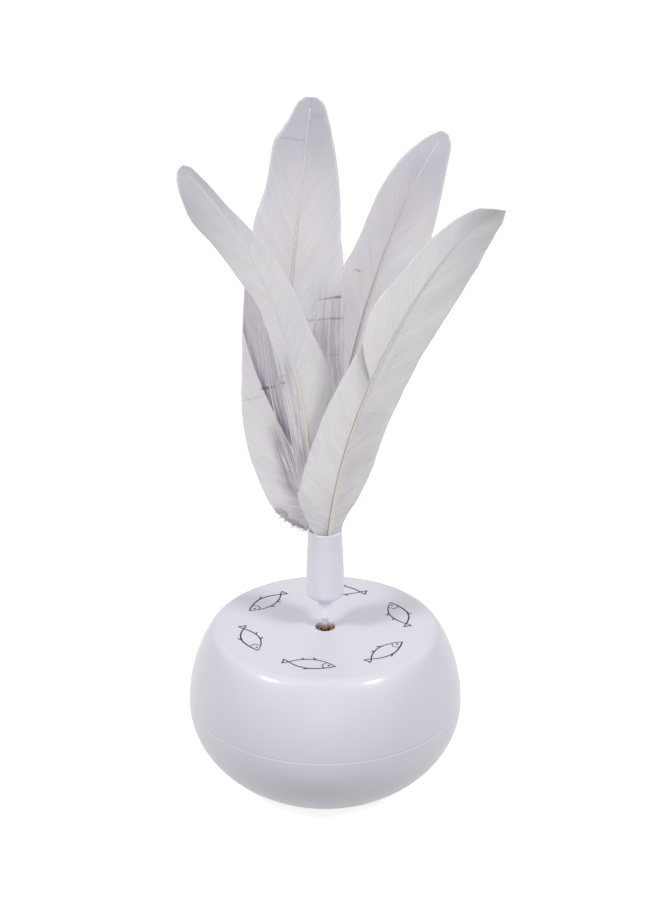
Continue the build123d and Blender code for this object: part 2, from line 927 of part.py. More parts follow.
with BuildPart() as spindle:
    shoulder = bush_top - bush_pocket_depth
    column([spindle_place], spindle_radius, gearbox_floor - pivot_depth + running_gap, shoulder)
    column([spindle_place], spindle_tip_radius, shoulder, spindle_tip)
    chamfer(spindle.edges().group_by(Axis.Z)[-1], cover_gap)
finish(spindle.part, "spindle")

with BuildPart() as spindle_collar:
    column([spindle_place], collar_radius, gearbox_top + axial_play, boss_low - axial_play)
    column([spindle_place], spindle_radius + press_gap, gearbox_top, boss_low, Mode.SUBTRACT)
finish(spindle_collar.part, "spindle_collar")


# Rod, sleeve and quill plug

rod_socket_top = spindle_tip + assembly_gap

with BuildPart() as feather_rod:
    column([(0, 0)], rod_radius, rod_foot, rod_top)
    column([(0, 0)], spindle_tip_radius + running_gap, rod_foot - overrun, rod_socket_top, Mode.SUBTRACT)
    rod_rims = feather_rod.edges().filter_by(GeomType.CIRCLE).group_by(Axis.Z)
    chamfer(rod_rims[-1], cover_gap)
    fillet(rod_rims[0].sort_by(SortBy.LENGTH)[-1], lip_round)
finish(feather_rod.part, "feather_rod")

with BuildPart() as feather_sleeve:
    neck_top = sleeve_foot + sleeve_neck_height
    shoulder_top = neck_top + sleeve_shoulder_height
    sleeve_reach = sleeve_wide_radius - sleeve_neck_radius
    with BuildSketch(Plane.XZ):
        with BuildLine():
            Line((rod_radius + running_gap, sleeve_foot), (sleeve_neck_radius, sleeve_foot))
            Line((sleeve_neck_radius, sleeve_foot), (sleeve_neck_radius, neck_top))
            Bezier(
                (sleeve_neck_radius, neck_top),
                (sleeve_neck_radius + sleeve_reach * shoulder_out_share, neck_top),
                (sleeve_wide_radius, neck_top + sleeve_shoulder_height * shoulder_up_share),
                (sleeve_wide_radius, shoulder_top),
            )
            Bezier(
                (sleeve_wide_radius, shoulder_top),
                (sleeve_wide_radius, (2 * shoulder_top + sleeve_mouth) / 3),
                (sleeve_mouth_radius + lip_round, (shoulder_top + 2 * sleeve_mouth) / 3),
                (sleeve_mouth_radius, sleeve_mouth),
            )
            Line((sleeve_mouth_radius, sleeve_mouth), (sleeve_bore_radius, sleeve_mouth))
            Line((sleeve_bore_radius, sleeve_mouth), (sleeve_bore_radius, sleeve_floor))
            Line((sleeve_bore_radius, sleeve_floor), (rod_radius + running_gap, sleeve_floor))
            Line((rod_radius + running_gap, sleeve_floor), (rod_radius + running_gap, sleeve_foot))
        make_face()
    revolve(axis=Axis.Z)
    fillet(feather_sleeve.edges().filter_by(GeomType.CIRCLE).group_by(Axis.Z)[-1], lip_round)
finish(feather_sleeve.part, "feather_sleeve")

# Feather outlines. A feather's curve has its three free control points as shares of its
# length, and its two vanes have their widths as shares of its width at each station.

station_shares = [0, 0.04, 0.1, 0.2, 0.3, 0.4, 0.5, 0.6, 0.7, 0.8, 0.88, 0.95, 0.985, 1]
feathers = {
    "feather_front_right": {
        "length": front_right_length,
        "width": front_right_width,
        "foot": (quill_pitch * quill_outer_share, -2 * quill_row),
        "curve_shares": [(0.04, -0.055, 0.44), (0.30, -0.135, 0.86), (0.375, -0.21, 0.875)],
        "turn": (12, -12),
        "left_shares": [0.06, 0.3, 0.45, 0.43, 0.43, 0.38, 0.33, 0.42, 0.35, 0.3, 0.22, 0.14, 0.06, 0.02],
        "right_shares": [0.06, 0.24, 0.4, 0.42, 0.43, 0.46, 0.46, 0.48, 0.48, 0.43, 0.33, 0.2, 0.09, 0.02],
    },
    "feather_front_left": {
        "length": front_left_length,
        "width": front_left_width,
        "foot": (-quill_pitch, -quill_row),
        "curve_shares": [(-0.03, -0.02, 0.16), (-0.005, -0.055, 0.60), (-0.295, -0.085, 0.91)],
        "turn": (0, 18),
        "left_shares": [0.06, 0.15, 0.19, 0.22, 0.24, 0.25, 0.21, 0.21, 0.29, 0.35, 0.39, 0.27, 0.14, 0.03],
        "right_shares": [0.06, 0.09, 0.11, 0.16, 0.3, 0.49, 0.38, 0.34, 0.29, 0.19, 0.12, 0.11, 0.09, 0.03],
    },
    "feather_tall": {
        "length": tall_length,
        "width": tall_width,
        "foot": (0, 0),
        "curve_shares": [(-0.12, 0.015, 0.36), (-0.085, 0.03, 0.42), (-0.028, 0.04, 0.98)],
        "turn": (0, 4),
        "left_shares": [0.05, 0.06, 0.06, 0.07, 0.19, 0.31, 0.4, 0.43, 0.4, 0.32, 0.3, 0.17, 0.1, 0.03],
        "right_shares": [0.05, 0.1, 0.23, 0.4, 0.5, 0.53, 0.52, 0.49, 0.42, 0.36, 0.28, 0.19, 0.11, 0.03],
    },
    "feather_rear_right": {
        "length": rear_right_length,
        "width": rear_right_width,
        "foot": (quill_pitch, quill_row),
        "curve_shares": [(-0.01, 0.05, 0.20), (0.09, 0.125, 0.66), (0.256, 0.19, 0.894)],
        "turn": (0, -12),
        "left_shares": [0.06, 0.14, 0.2, 0.28, 0.37, 0.44, 0.44, 0.43, 0.36, 0.36, 0.31, 0.2, 0.08, 0.02],
        "right_shares": [0.06, 0.1, 0.16, 0.25, 0.34, 0.4, 0.47, 0.49, 0.48, 0.42, 0.33, 0.22, 0.13, 0.03],
    },
    "feather_rear_left": {
        "length": rear_left_length,
        "width": rear_left_width,
        "foot": (-quill_pitch * quill_outer_share, 2 * quill_row),
        "curve_shares": [(-0.12, 0.05, 0.16), (-0.20, 0.155, 0.55), (-0.086, 0.25, 0.916)],
        "turn": (0, 12),
        "left_shares": [0.05, 0.13, 0.34, 0.43, 0.41, 0.33, 0.26, 0.22, 0.19, 0.12, 0.07, 0.06, 0.03, 0.02],
        "right_shares": [0.05, 0.12, 0.22, 0.32, 0.38, 0.43, 0.46, 0.46, 0.42, 0.34, 0.25, 0.14, 0.05, 0.02],
    },
}
camber_share = 0.10
rachis_tip_share = 0.25
curve_steps = 200

quill_places = [feather["foot"] for feather in feathers.values()]

with BuildPart() as quill_plug:
    column([(0, 0)], sleeve_bore_radius - running_gap, sleeve_floor, plug_top)
    column(
        [(0, 0)],
        rod_radius + running_gap,
        sleeve_floor - overrun,
        rod_top + assembly_gap,
        Mode.SUBTRACT,
    )
    column(quill_places, quill_radius + running_gap, quill_hole_foot, plug_top + overrun, Mode.SUBTRACT)
finish(quill_plug.part, "quill_plug")


def curve_point(points, share):
    """A point on the cubic curve through these four control points."""
    rest = 1 - share
    return (
        points[0] * rest**3
        + points[1] * (3 * rest**2 * share)
        + points[2] * (3 * rest * share**2)
        + points[3] * share**3
    )


def curve_way(points, share):
    """The direction of the same curve."""
    rest = 1 - share
    way = (
        (points[1] - points[0]) * rest**2
        + (points[2] - points[1]) * (2 * rest * share)
        + (points[3] - points[2]) * share**2
    )
    return way.normalized()


def even_shares(points, steps):
    """Curve parameters that step evenly along the curve, looked up by share of its length."""
    walked = [0]
    before = points[0]
    for step in range(1, steps + 1):
        here = curve_point(points, step / steps)
        walked.append(walked[-1] + (here - before).length)
        before = here

    def parameter(share):
        target = share * walked[-1]
        for step in range(1, steps + 1):
            if walked[step] >= target or step == steps:
                part = (target - walked[step - 1]) / (walked[step] - walked[step - 1])
                return min(1, (step - 1 + part) / steps)

    return parameter


def vane_section(left, right, width, rachis):
    """One cross-section: two cambered vanes with the rachis standing out between them."""
    camber = camber_share * width

    def lifted(across, offset):
        return (across, camber * (2 * across / width) ** 2 + offset)

    half = vane_thickness / 2
    edge = edge_thickness / 2
    front = [
        lifted(-left, -edge),
        lifted(-(left + rachis) / 2, -half),
        lifted(-rachis, -half),
        (-rachis / 2, -rachis),
        (rachis / 2, -rachis),
        lifted(rachis, -half),
        lifted((right + rachis) / 2, -half),
        lifted(right, -edge),
    ]
    back = [
        lifted(right, edge),
        lifted((right + rachis) / 2, half),
        lifted(rachis, half),
        (rachis / 2, rachis),
        (-rachis / 2, rachis),
        lifted(-rachis, half),
        lifted(-(left + rachis) / 2, half),
        lifted(-left, edge),
    ]
    return front + back


def make_feather(feather):
    """One feather: a ruled vane along its curve, and a straight quill in the plug."""
    length = feather["length"]
    width = feather["width"]
    foot = Vector(*feather["foot"], sleeve_mouth)
    points = [foot] + [foot + Vector(*shares) * length for shares in feather["curve_shares"]]
    parameter = even_shares(points, curve_steps)
    turn_start, turn_end = feather["turn"]
    with BuildPart() as blade:
        for number, share in enumerate(station_shares):
            at = parameter(share)
            way = curve_way(points, at)
            across = (Vector(1, 0, 0) - way * way.X).normalized()
            turn = radians(turn_start + (turn_end - turn_start) * share)
            across = across * cos(turn) + way.cross(across) * sin(turn)
            rachis = quill_radius * (1 - (1 - rachis_tip_share) * share)
            left = feather["left_shares"][number] * width
            right = feather["right_shares"][number] * width
            with BuildSketch(Plane(origin=curve_point(points, at), x_dir=across, z_dir=way)):
                with BuildLine():
                    Polyline(*vane_section(left, right, width, rachis), close=True)
                make_face()
        loft(ruled=True)
        quill_foot = quill_hole_foot + assembly_gap
        column([feather["foot"]], quill_radius, quill_foot, sleeve_mouth + quill_radius)
    return blade.part


for name, feather in feathers.items():
    finish(make_feather(feather), name)


# Wires held inside, each one tube from terminal to terminal

def make_wire(name, route):
    """A round wire along straight runs joined by arcs as large as the runs allow."""
    corners = [Vector(*point) for point in route]
    radii = []
    for before, corner, after in zip(corners, corners[1:], corners[2:]):
        shorter = min((corner - before).length, (after - corner).length)
        turn = (corner - before).get_angle(after - corner)
        radii.append(bend_share * shorter / tan(radians(turn) / 2))
    with BuildPart() as wire:
        with BuildLine() as path:
            FilletPolyline(*corners, radius=radii)
        with BuildSketch(Plane(origin=path.line @ 0, z_dir=path.line % 0)) as section:
            Circle(wire_radius)
        sweep(section.sketch, path=path.line)
    route_length = sum(edge.length for edge in path.edges())
    volume_share = wire.part.volume / (pi * wire_radius**2 * route_length)
    print(name, "bend radii", [round(radius, 1) for radius in radii])
    print(name, "volume over section times length", round(volume_share, 3))
    finish(wire.part, name)


tab_top = bay_top + tab_height
wire_level = tab_top + wire_rise
cap_wire_level = motor_cap_low + wire_rise
terminal_top = housing_top + terminal_height
switch_wire_level = terminal_top + wire_rise
left_motor_tab = polar(motor_place, motor_wire_reach, motor_tab_angles[0])
right_motor_tab = polar(motor_place, motor_wire_reach, motor_tab_angles[1])
plus_tab = (cell_pitch, bay_half_length - plate_thickness / 2)
minus_tab = (-cell_pitch, -plus_tab[1])

make_wire(
    "wire_battery_to_switch",
    [
        (*plus_tab, tab_top),
        (*plus_tab, wire_level),
        (switch_x - wire_bow, pillar_back, wire_level + wire_swell),
        (switch_x, terminal_offset, switch_wire_level),
        (switch_x, terminal_offset, terminal_top),
    ],
)
make_wire(
    "wire_switch_to_motor",
    [
        (*right_motor_tab, motor_cap_low),
        (*right_motor_tab, cap_wire_level),
        ((right_motor_tab[0] + switch_x) / 2, -terminal_offset, cap_wire_level + wire_swell),
        (switch_x, -terminal_offset, switch_wire_level),
        (switch_x, -terminal_offset, terminal_top),
    ],
)
make_wire(
    "wire_battery_to_motor",
    [
        (*left_motor_tab, motor_cap_low),
        (*left_motor_tab, cap_wire_level),
        (
            (left_motor_tab[0] + minus_tab[0]) / 2 - wire_swell,
            (left_motor_tab[1] + minus_tab[1]) / 2,
            cap_wire_level + wire_swell,
        ),
        (*minus_tab, wire_level),
        (*minus_tab, tab_top),
    ],
)
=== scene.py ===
import math

import bpy
import numpy as np
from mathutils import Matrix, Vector


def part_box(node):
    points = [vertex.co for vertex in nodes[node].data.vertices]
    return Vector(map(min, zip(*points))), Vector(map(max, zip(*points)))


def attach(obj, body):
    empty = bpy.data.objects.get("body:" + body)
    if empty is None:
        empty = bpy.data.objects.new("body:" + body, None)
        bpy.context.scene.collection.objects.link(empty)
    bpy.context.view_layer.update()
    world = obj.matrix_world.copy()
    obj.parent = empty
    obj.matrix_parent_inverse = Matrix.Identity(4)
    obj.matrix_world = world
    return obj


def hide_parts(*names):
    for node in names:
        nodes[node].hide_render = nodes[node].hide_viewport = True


# Looks of the rotating feather cat toy. Metres, +Z up, in the frame of the CAD model.
# -Y is the front and +X the right hand side.

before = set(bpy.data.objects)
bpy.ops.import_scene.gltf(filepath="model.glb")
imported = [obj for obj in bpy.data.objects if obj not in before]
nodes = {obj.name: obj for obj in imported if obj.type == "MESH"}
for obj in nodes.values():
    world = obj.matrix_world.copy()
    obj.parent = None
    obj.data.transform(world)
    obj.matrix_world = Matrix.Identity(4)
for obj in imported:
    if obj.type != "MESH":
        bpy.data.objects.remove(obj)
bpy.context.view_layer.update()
MM = 0.001
HEAD = "feather_head"
BASE = "base"

# Heights: the parting line as the CAD model has it, and three taken from the frame
SEAM_Z = 30.2 * MM
TOP_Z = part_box("upper_shell")[1].z
MOUTH_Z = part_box("feather_sleeve")[1].z
QUILL_FOOT_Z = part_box("feather_tall")[0].z


# Colours

def linear(red, green, blue):
    """A screen colour of 0 to 255 as the linear colour that the shaders take."""

    def one(value):
        value /= 255
        return value / 12.92 if value <= 0.04045 else ((value + 0.055) / 1.055) ** 2.4

    return (one(red), one(green), one(blue), 1.0)


WHITE = (1, 1, 1, 1)
SHELL_WHITE = linear(222, 221, 231)
SHELL_SHADE = linear(219, 218, 228)
SEAM_DARK = linear(120, 118, 132)
SEAM_HIGHLIGHT_PAINT = linear(250, 250, 254)
WAND_WHITE = linear(240, 239, 249)
ROD_WHITE = linear(240, 239, 243)
VANE_WARM = linear(241, 239, 240)
VANE_COOL = linear(238, 237, 242)
VANE_PAINTED_FILL = linear(254, 253, 254)
VANE_STREAK = linear(216, 212, 218)
VANE_TIP = linear(214, 211, 219)
VANE_VIOLET_AND_SHADE = linear(150, 128, 155)
VANE_RIM_HIGHLIGHT = linear(250, 249, 250)
VANE_SHADE = linear(150, 140, 152)
VANE_FAULT_AND_SHADE = linear(102, 82, 110)
VANE_CLEAR = linear(250, 248, 250)
DOWN_GREY = linear(216, 210, 217)
DOWN_DARK = linear(172, 162, 175)
INK = linear(14, 15, 19)
INK_WORN = linear(34, 35, 41)


# Node trees

# The colour sockets of a Mix node
MIX_FIRST = 6
MIX_SECOND = 7
MIX_RESULT = 2

# Most of a noise lies between these.
NOISE_SPAN = (0.3, 0.7)


class NodeTree:
    """A node tree, with short calls for the nodes used here."""

    def __init__(self, tree, output):
        self.tree = tree
        self.tree.nodes.clear()
        self.output = self.node(output)

    def node(self, kind, **settings):
        made = self.tree.nodes.new(kind)
        for key, value in settings.items():
            setattr(made, key, value)
        return made

    def link(self, source, target):
        self.tree.links.new(source, target)

    def feed(self, socket, value):
        """Links a socket, or sets its value."""
        if isinstance(value, bpy.types.NodeSocket):
            self.link(value, socket)
        else:
            socket.default_value = value

    def math(self, operation, first, second=0.0):
        made = self.node("ShaderNodeMath", operation=operation)
        self.feed(made.inputs[0], first)
        self.feed(made.inputs[1], second)
        return made.outputs[0]

    def times(self, first, *others):
        for other in others:
            first = self.math("MULTIPLY", first, other)
        return first

    def seen(self):
        """1 where the camera looks, straight, in a reflection or through glass, otherwise 0."""
        rays = self.node("ShaderNodeLightPath").outputs
        seen = self.math("MAXIMUM", rays["Is Camera Ray"], rays["Is Glossy Ray"])
        return self.math("MAXIMUM", seen, rays["Is Transmission Ray"])

    def blend(self, share, first, second):
        """Two shaders mixed."""
        made = self.node("ShaderNodeMixShader")
        self.feed(made.inputs[0], share)
        self.link(first.outputs[0], made.inputs[1])
        self.link(second.outputs[0], made.inputs[2])
        return made

    def show(self, shader):
        self.link(shader.outputs[0], self.output.inputs["Surface"])


class Shader(NodeTree):
    """A material's node tree."""

    def __init__(self, name):
        self.material = bpy.data.materials.new(name)
        self.material.use_nodes = True
        super().__init__(self.material.node_tree, "ShaderNodeOutputMaterial")

    def object_place(self):
        return self.node("ShaderNodeTexCoord").outputs["Object"]

    def split(self, vector):
        made = self.node("ShaderNodeSeparateXYZ")
        self.link(vector, made.inputs[0])
        return made.outputs["X"], made.outputs["Y"], made.outputs["Z"]

    def layer(self, name):
        """A UV layer and its two parts."""
        vector = self.node("ShaderNodeUVMap", uv_map=name).outputs["UV"]
        first, second, _ = self.split(vector)
        return vector, first, second

    def stretched(self, vector, scale, location):
        made = self.node("ShaderNodeMapping")
        self.link(vector, made.inputs["Vector"])
        made.inputs["Scale"].default_value = scale
        made.inputs["Location"].default_value = location
        return made.outputs["Vector"]

    def noise(self, vector, scale, detail=2.0, roughness=0.5, distortion=0.0):
        made = self.node("ShaderNodeTexNoise")
        self.feed(made.inputs["Vector"], vector)
        made.inputs["Scale"].default_value = scale
        made.inputs["Detail"].default_value = detail
        made.inputs["Roughness"].default_value = roughness
        made.inputs["Distortion"].default_value = distortion
        return made.outputs["Fac"]

    def spread(self, value, low, high, to_low=0.0, to_high=1.0):
        """A value's range low to high mapped to another range, held at its ends."""
        made = self.node("ShaderNodeMapRange", interpolation_type="SMOOTHSTEP")
        self.feed(made.inputs["Value"], value)
        made.inputs["From Min"].default_value = low
        made.inputs["From Max"].default_value = high
        made.inputs["To Min"].default_value = to_low
        made.inputs["To Max"].default_value = to_high
        return made.outputs["Result"]

    def uneven(self, noise, low, high):
        """A value that follows a noise from low to high."""
        return self.spread(noise, *NOISE_SPAN, low, high)

    def window(self, value, low, high, soft):
        """1 where the value lies between low and high, with soft ends."""
        rise = self.spread(value, low - soft, low + soft)
        fall = self.spread(value, high - soft, high + soft, 1.0, 0.0)
        return self.times(rise, fall)

    def mix(self, share, first, second):
        """Two colours mixed."""
        made = self.node("ShaderNodeMix", data_type="RGBA")
        self.feed(made.inputs["Factor"], share)
        self.feed(made.inputs[MIX_FIRST], first)
        self.feed(made.inputs[MIX_SECOND], second)
        return made.outputs[MIX_RESULT]

    def bump(self, height, strength, distance):
        made = self.node("ShaderNodeBump")
        made.inputs["Strength"].default_value = strength
        made.inputs["Distance"].default_value = distance
        self.feed(made.inputs["Height"], height)
        return made.outputs["Normal"]

    def principled(self, **inputs):
        made = self.node("ShaderNodeBsdfPrincipled")
        for key, value in inputs.items():
            self.feed(made.inputs[key.replace("_", " ")], value)
        return made

    def finish(self, shader):
        self.show(shader)
        return self.material


# Materials of the CAD nodes

DRIFT_SCALE = 38
POLISH_SCALE = 160
STAIN_SCALE = 420
SHELL_GRAIN = 600
RUBBER_GRAIN = 1500
SKIN_STRENGTH = 0.03
SKIN_HEIGHT = 0.1 * MM
TOOL_MARK_STRENGTH = 0.12
TOOL_MARK_HEIGHT = 0.02 * MM
POWDER_STRENGTH = 0.15
POWDER_HEIGHT = 0.05 * MM

# The seam's lines, a dark gap and a painted highlight below it: height over the parting line,
# half width and strength
SEAM_GAP = (0.2 * MM, 0.28 * MM, 0.12)
SEAM_PAINTED_HIGHLIGHT = (-0.35 * MM, 0.35 * MM, 0.5)


def moulded(name, colour, shade, low_rough, high_rough, grain):
    """Moulded plastic: a faint colour drift, an uneven polish and a fine surface."""
    s = Shader(name)
    place = s.object_place()
    polish = s.noise(place, POLISH_SCALE, 4, 0.6)
    skin = s.noise(place, grain, 3, 0.6)
    shader = s.principled(
        Base_Color=s.mix(s.noise(place, DRIFT_SCALE, 3), colour, shade),
        Roughness=s.uneven(polish, low_rough, high_rough),
        Normal=s.bump(skin, SKIN_STRENGTH, SKIN_HEIGHT),
    )
    return s.finish(shader)


def shell_material():
    """Glossy shell plastic, with the parting line's dark gap and a painted highlight below it."""
    s = Shader("shell_gloss")
    place = s.object_place()
    height = s.split(place)[2]

    def line(offset, half_width, strength):
        away = s.math("ABSOLUTE", s.math("SUBTRACT", height, SEAM_Z + offset))
        return s.spread(away, half_width * 0.4, half_width, strength, 0.0)

    polish = s.noise(place, POLISH_SCALE, 4, 0.6)
    colour = s.mix(s.noise(place, DRIFT_SCALE, 3), SHELL_WHITE, SHELL_SHADE)
    colour = s.mix(line(*SEAM_GAP), colour, SEAM_DARK)
    # painted highlight: a light line along the edge under the parting line
    colour = s.mix(line(*SEAM_PAINTED_HIGHLIGHT), colour, SEAM_HIGHLIGHT_PAINT)
    shader = s.principled(
        Base_Color=colour,
        Roughness=s.uneven(polish, 0.34, 0.42),
        Coat_Weight=0.27,
        Coat_Roughness=0.07,
        Normal=s.bump(s.noise(place, SHELL_GRAIN, 3, 0.6), SKIN_STRENGTH, SKIN_HEIGHT),
    )
    return s.finish(shader)


def turned_metal(name, colour, dark, low_rough, high_rough, ring_scale):
    """Metal turned or drawn round the upright axis, with rings of tool marks."""
    s = Shader(name)
    place = s.object_place()
    rings = s.node("ShaderNodeTexWave", wave_type="BANDS", bands_direction="Z")
    s.feed(rings.inputs["Vector"], place)
    rings.inputs["Scale"].default_value = ring_scale
    rings.inputs["Distortion"].default_value = 1.5
    rings.inputs["Detail"].default_value = 2
    stains = s.noise(place, STAIN_SCALE, 4, 0.65)
    shader = s.principled(
        Base_Color=s.mix(s.spread(stains, 0.35, 0.75), colour, dark),
        Metallic=1.0,
        Roughness=s.uneven(stains, low_rough, high_rough),
        Normal=s.bump(rings.outputs["Fac"], TOOL_MARK_STRENGTH, TOOL_MARK_HEIGHT),
    )
    return s.finish(shader)


def rubber(name, colour, shade):
    """Soft rubber or wire insulation: matte with a powdery grain."""
    s = Shader(name)
    grains = s.noise(s.object_place(), RUBBER_GRAIN, 4, 0.6)
    shader = s.principled(
        Base_Color=s.mix(grains, colour, shade),
        Roughness=s.uneven(grains, 0.55, 0.8),
        Normal=s.bump(grains, POWDER_STRENGTH, POWDER_HEIGHT),
    )
    return s.finish(shader)


def give(material, names):
    """Puts a material on the CAD nodes of these names."""
    for name in names:
        mesh = nodes[name].data
        mesh.materials.clear()
        mesh.materials.append(material)


# Each plastic's colour and shade, its roughness from and to, its grain, and its nodes
MOULDED = {
    "wand_satin": (WAND_WHITE, SHELL_WHITE, 0.32, 0.42, 1200, ["feather_sleeve"]),
    "rod_satin": (ROD_WHITE, WAND_WHITE, 0.26, 0.36, 1500, ["feather_rod"]),
    "plug_matte": (linear(206, 203, 200), linear(190, 187, 184), 0.6, 0.75, 1500, ["quill_plug"]),
    "switch_black": (
        linear(40, 40, 42), linear(30, 30, 33), 0.4, 0.55, 1800,
        ["switch_housing", "switch_knob"],
    ),
    "motor_black": (linear(48, 48, 50), linear(38, 38, 41), 0.45, 0.6, 1800, ["motor_end_cap"]),
    "plate_grey": (
        linear(74, 76, 82), linear(62, 64, 70), 0.45, 0.6, 1600,
        ["gearbox_lower_plate", "gearbox_upper_plate"],
    ),
    "gear_nylon": (
        linear(236, 232, 218), linear(226, 220, 202), 0.35, 0.5, 1800,
        ["motor_pinion", "first_gear", "second_gear", "output_gear"],
    ),
    "cell_wrap": (linear(64, 116, 132), linear(52, 98, 116), 0.22, 0.34, 900, ["battery_cells"]),
    "ferrite_dull": (linear(58, 56, 56), linear(44, 42, 42), 0.7, 0.85, 2200, ["motor_magnet"]),
}

# Each metal's colour and stains, its roughness from and to, its ring scale, and its nodes
TURNED = {
    "bronze_turned": (
        linear(150, 104, 72), linear(96, 62, 42), 0.25, 0.4, 900,
        ["top_bush", "spindle_collar"],
    ),
    "steel_turned": (
        linear(196, 196, 198), linear(150, 150, 154), 0.14, 0.26, 1200,
        ["gear_axles", "motor_shaft"],
    ),
    "spindle_polished": (linear(226, 221, 221), linear(200, 193, 192), 0.24, 0.34, 1200, ["spindle"]),
    "screw_zinc": (
        linear(176, 174, 168), linear(132, 130, 126), 0.28, 0.42, 1400,
        ["door_screw", "shell_screws", "gearbox_screws", "motor_screws"],
    ),
    "nickel_strip": (
        linear(196, 192, 180), linear(160, 156, 146), 0.2, 0.34, 700,
        ["contact_plates", "contact_springs", "switch_terminals", "motor_terminals"],
    ),
    "motor_steel": (
        linear(172, 172, 174), linear(136, 136, 140), 0.26, 0.4, 500,
        ["motor_can", "motor_armature"],
    ),
}

# Each rubber's colour and shade, and its nodes
RUBBER = {
    "foot_rubber": (linear(120, 120, 123), linear(104, 104, 108), ["anti_slip_pad", "rubber_feet"]),
    "wire_red": (
        linear(190, 36, 34), linear(166, 28, 28),
        ["wire_battery_to_switch", "wire_switch_to_motor"],
    ),
    "wire_black": (linear(44, 44, 46), linear(32, 32, 34), ["wire_battery_to_motor"]),
}

give(shell_material(), ["upper_shell", "lower_shell", "battery_door"])
for make, table in ((moulded, MOULDED), (turned_metal, TURNED), (rubber, RUBBER)):
    for name, (*look, names) in table.items():
        give(make(name, *look), names)


# Feathers

# Every curve and width is a share of the feather's length or width, and the places of
# splits, bars and patches too: along from foot to tip, across from the rachis with the
# left side negative. A feather whose end is under 1 has a rounded tip. The vanes' widths
# are given at the station shares.
STATION_SHARES = [0, 0.04, 0.10, 0.20, 0.30, 0.40, 0.50, 0.60, 0.70, 0.80, 0.88, 0.95, 0.985, 1]
QUILL_PITCH = 1.9 * MM
QUILL_ROW = 1.8 * MM
QUILL_RADIUS = 1.0 * MM
CAMBER_SHARE = 0.10
VANE_THICKNESS = 0.16 * MM
BARBS = 320
BARB_STEPS = 15

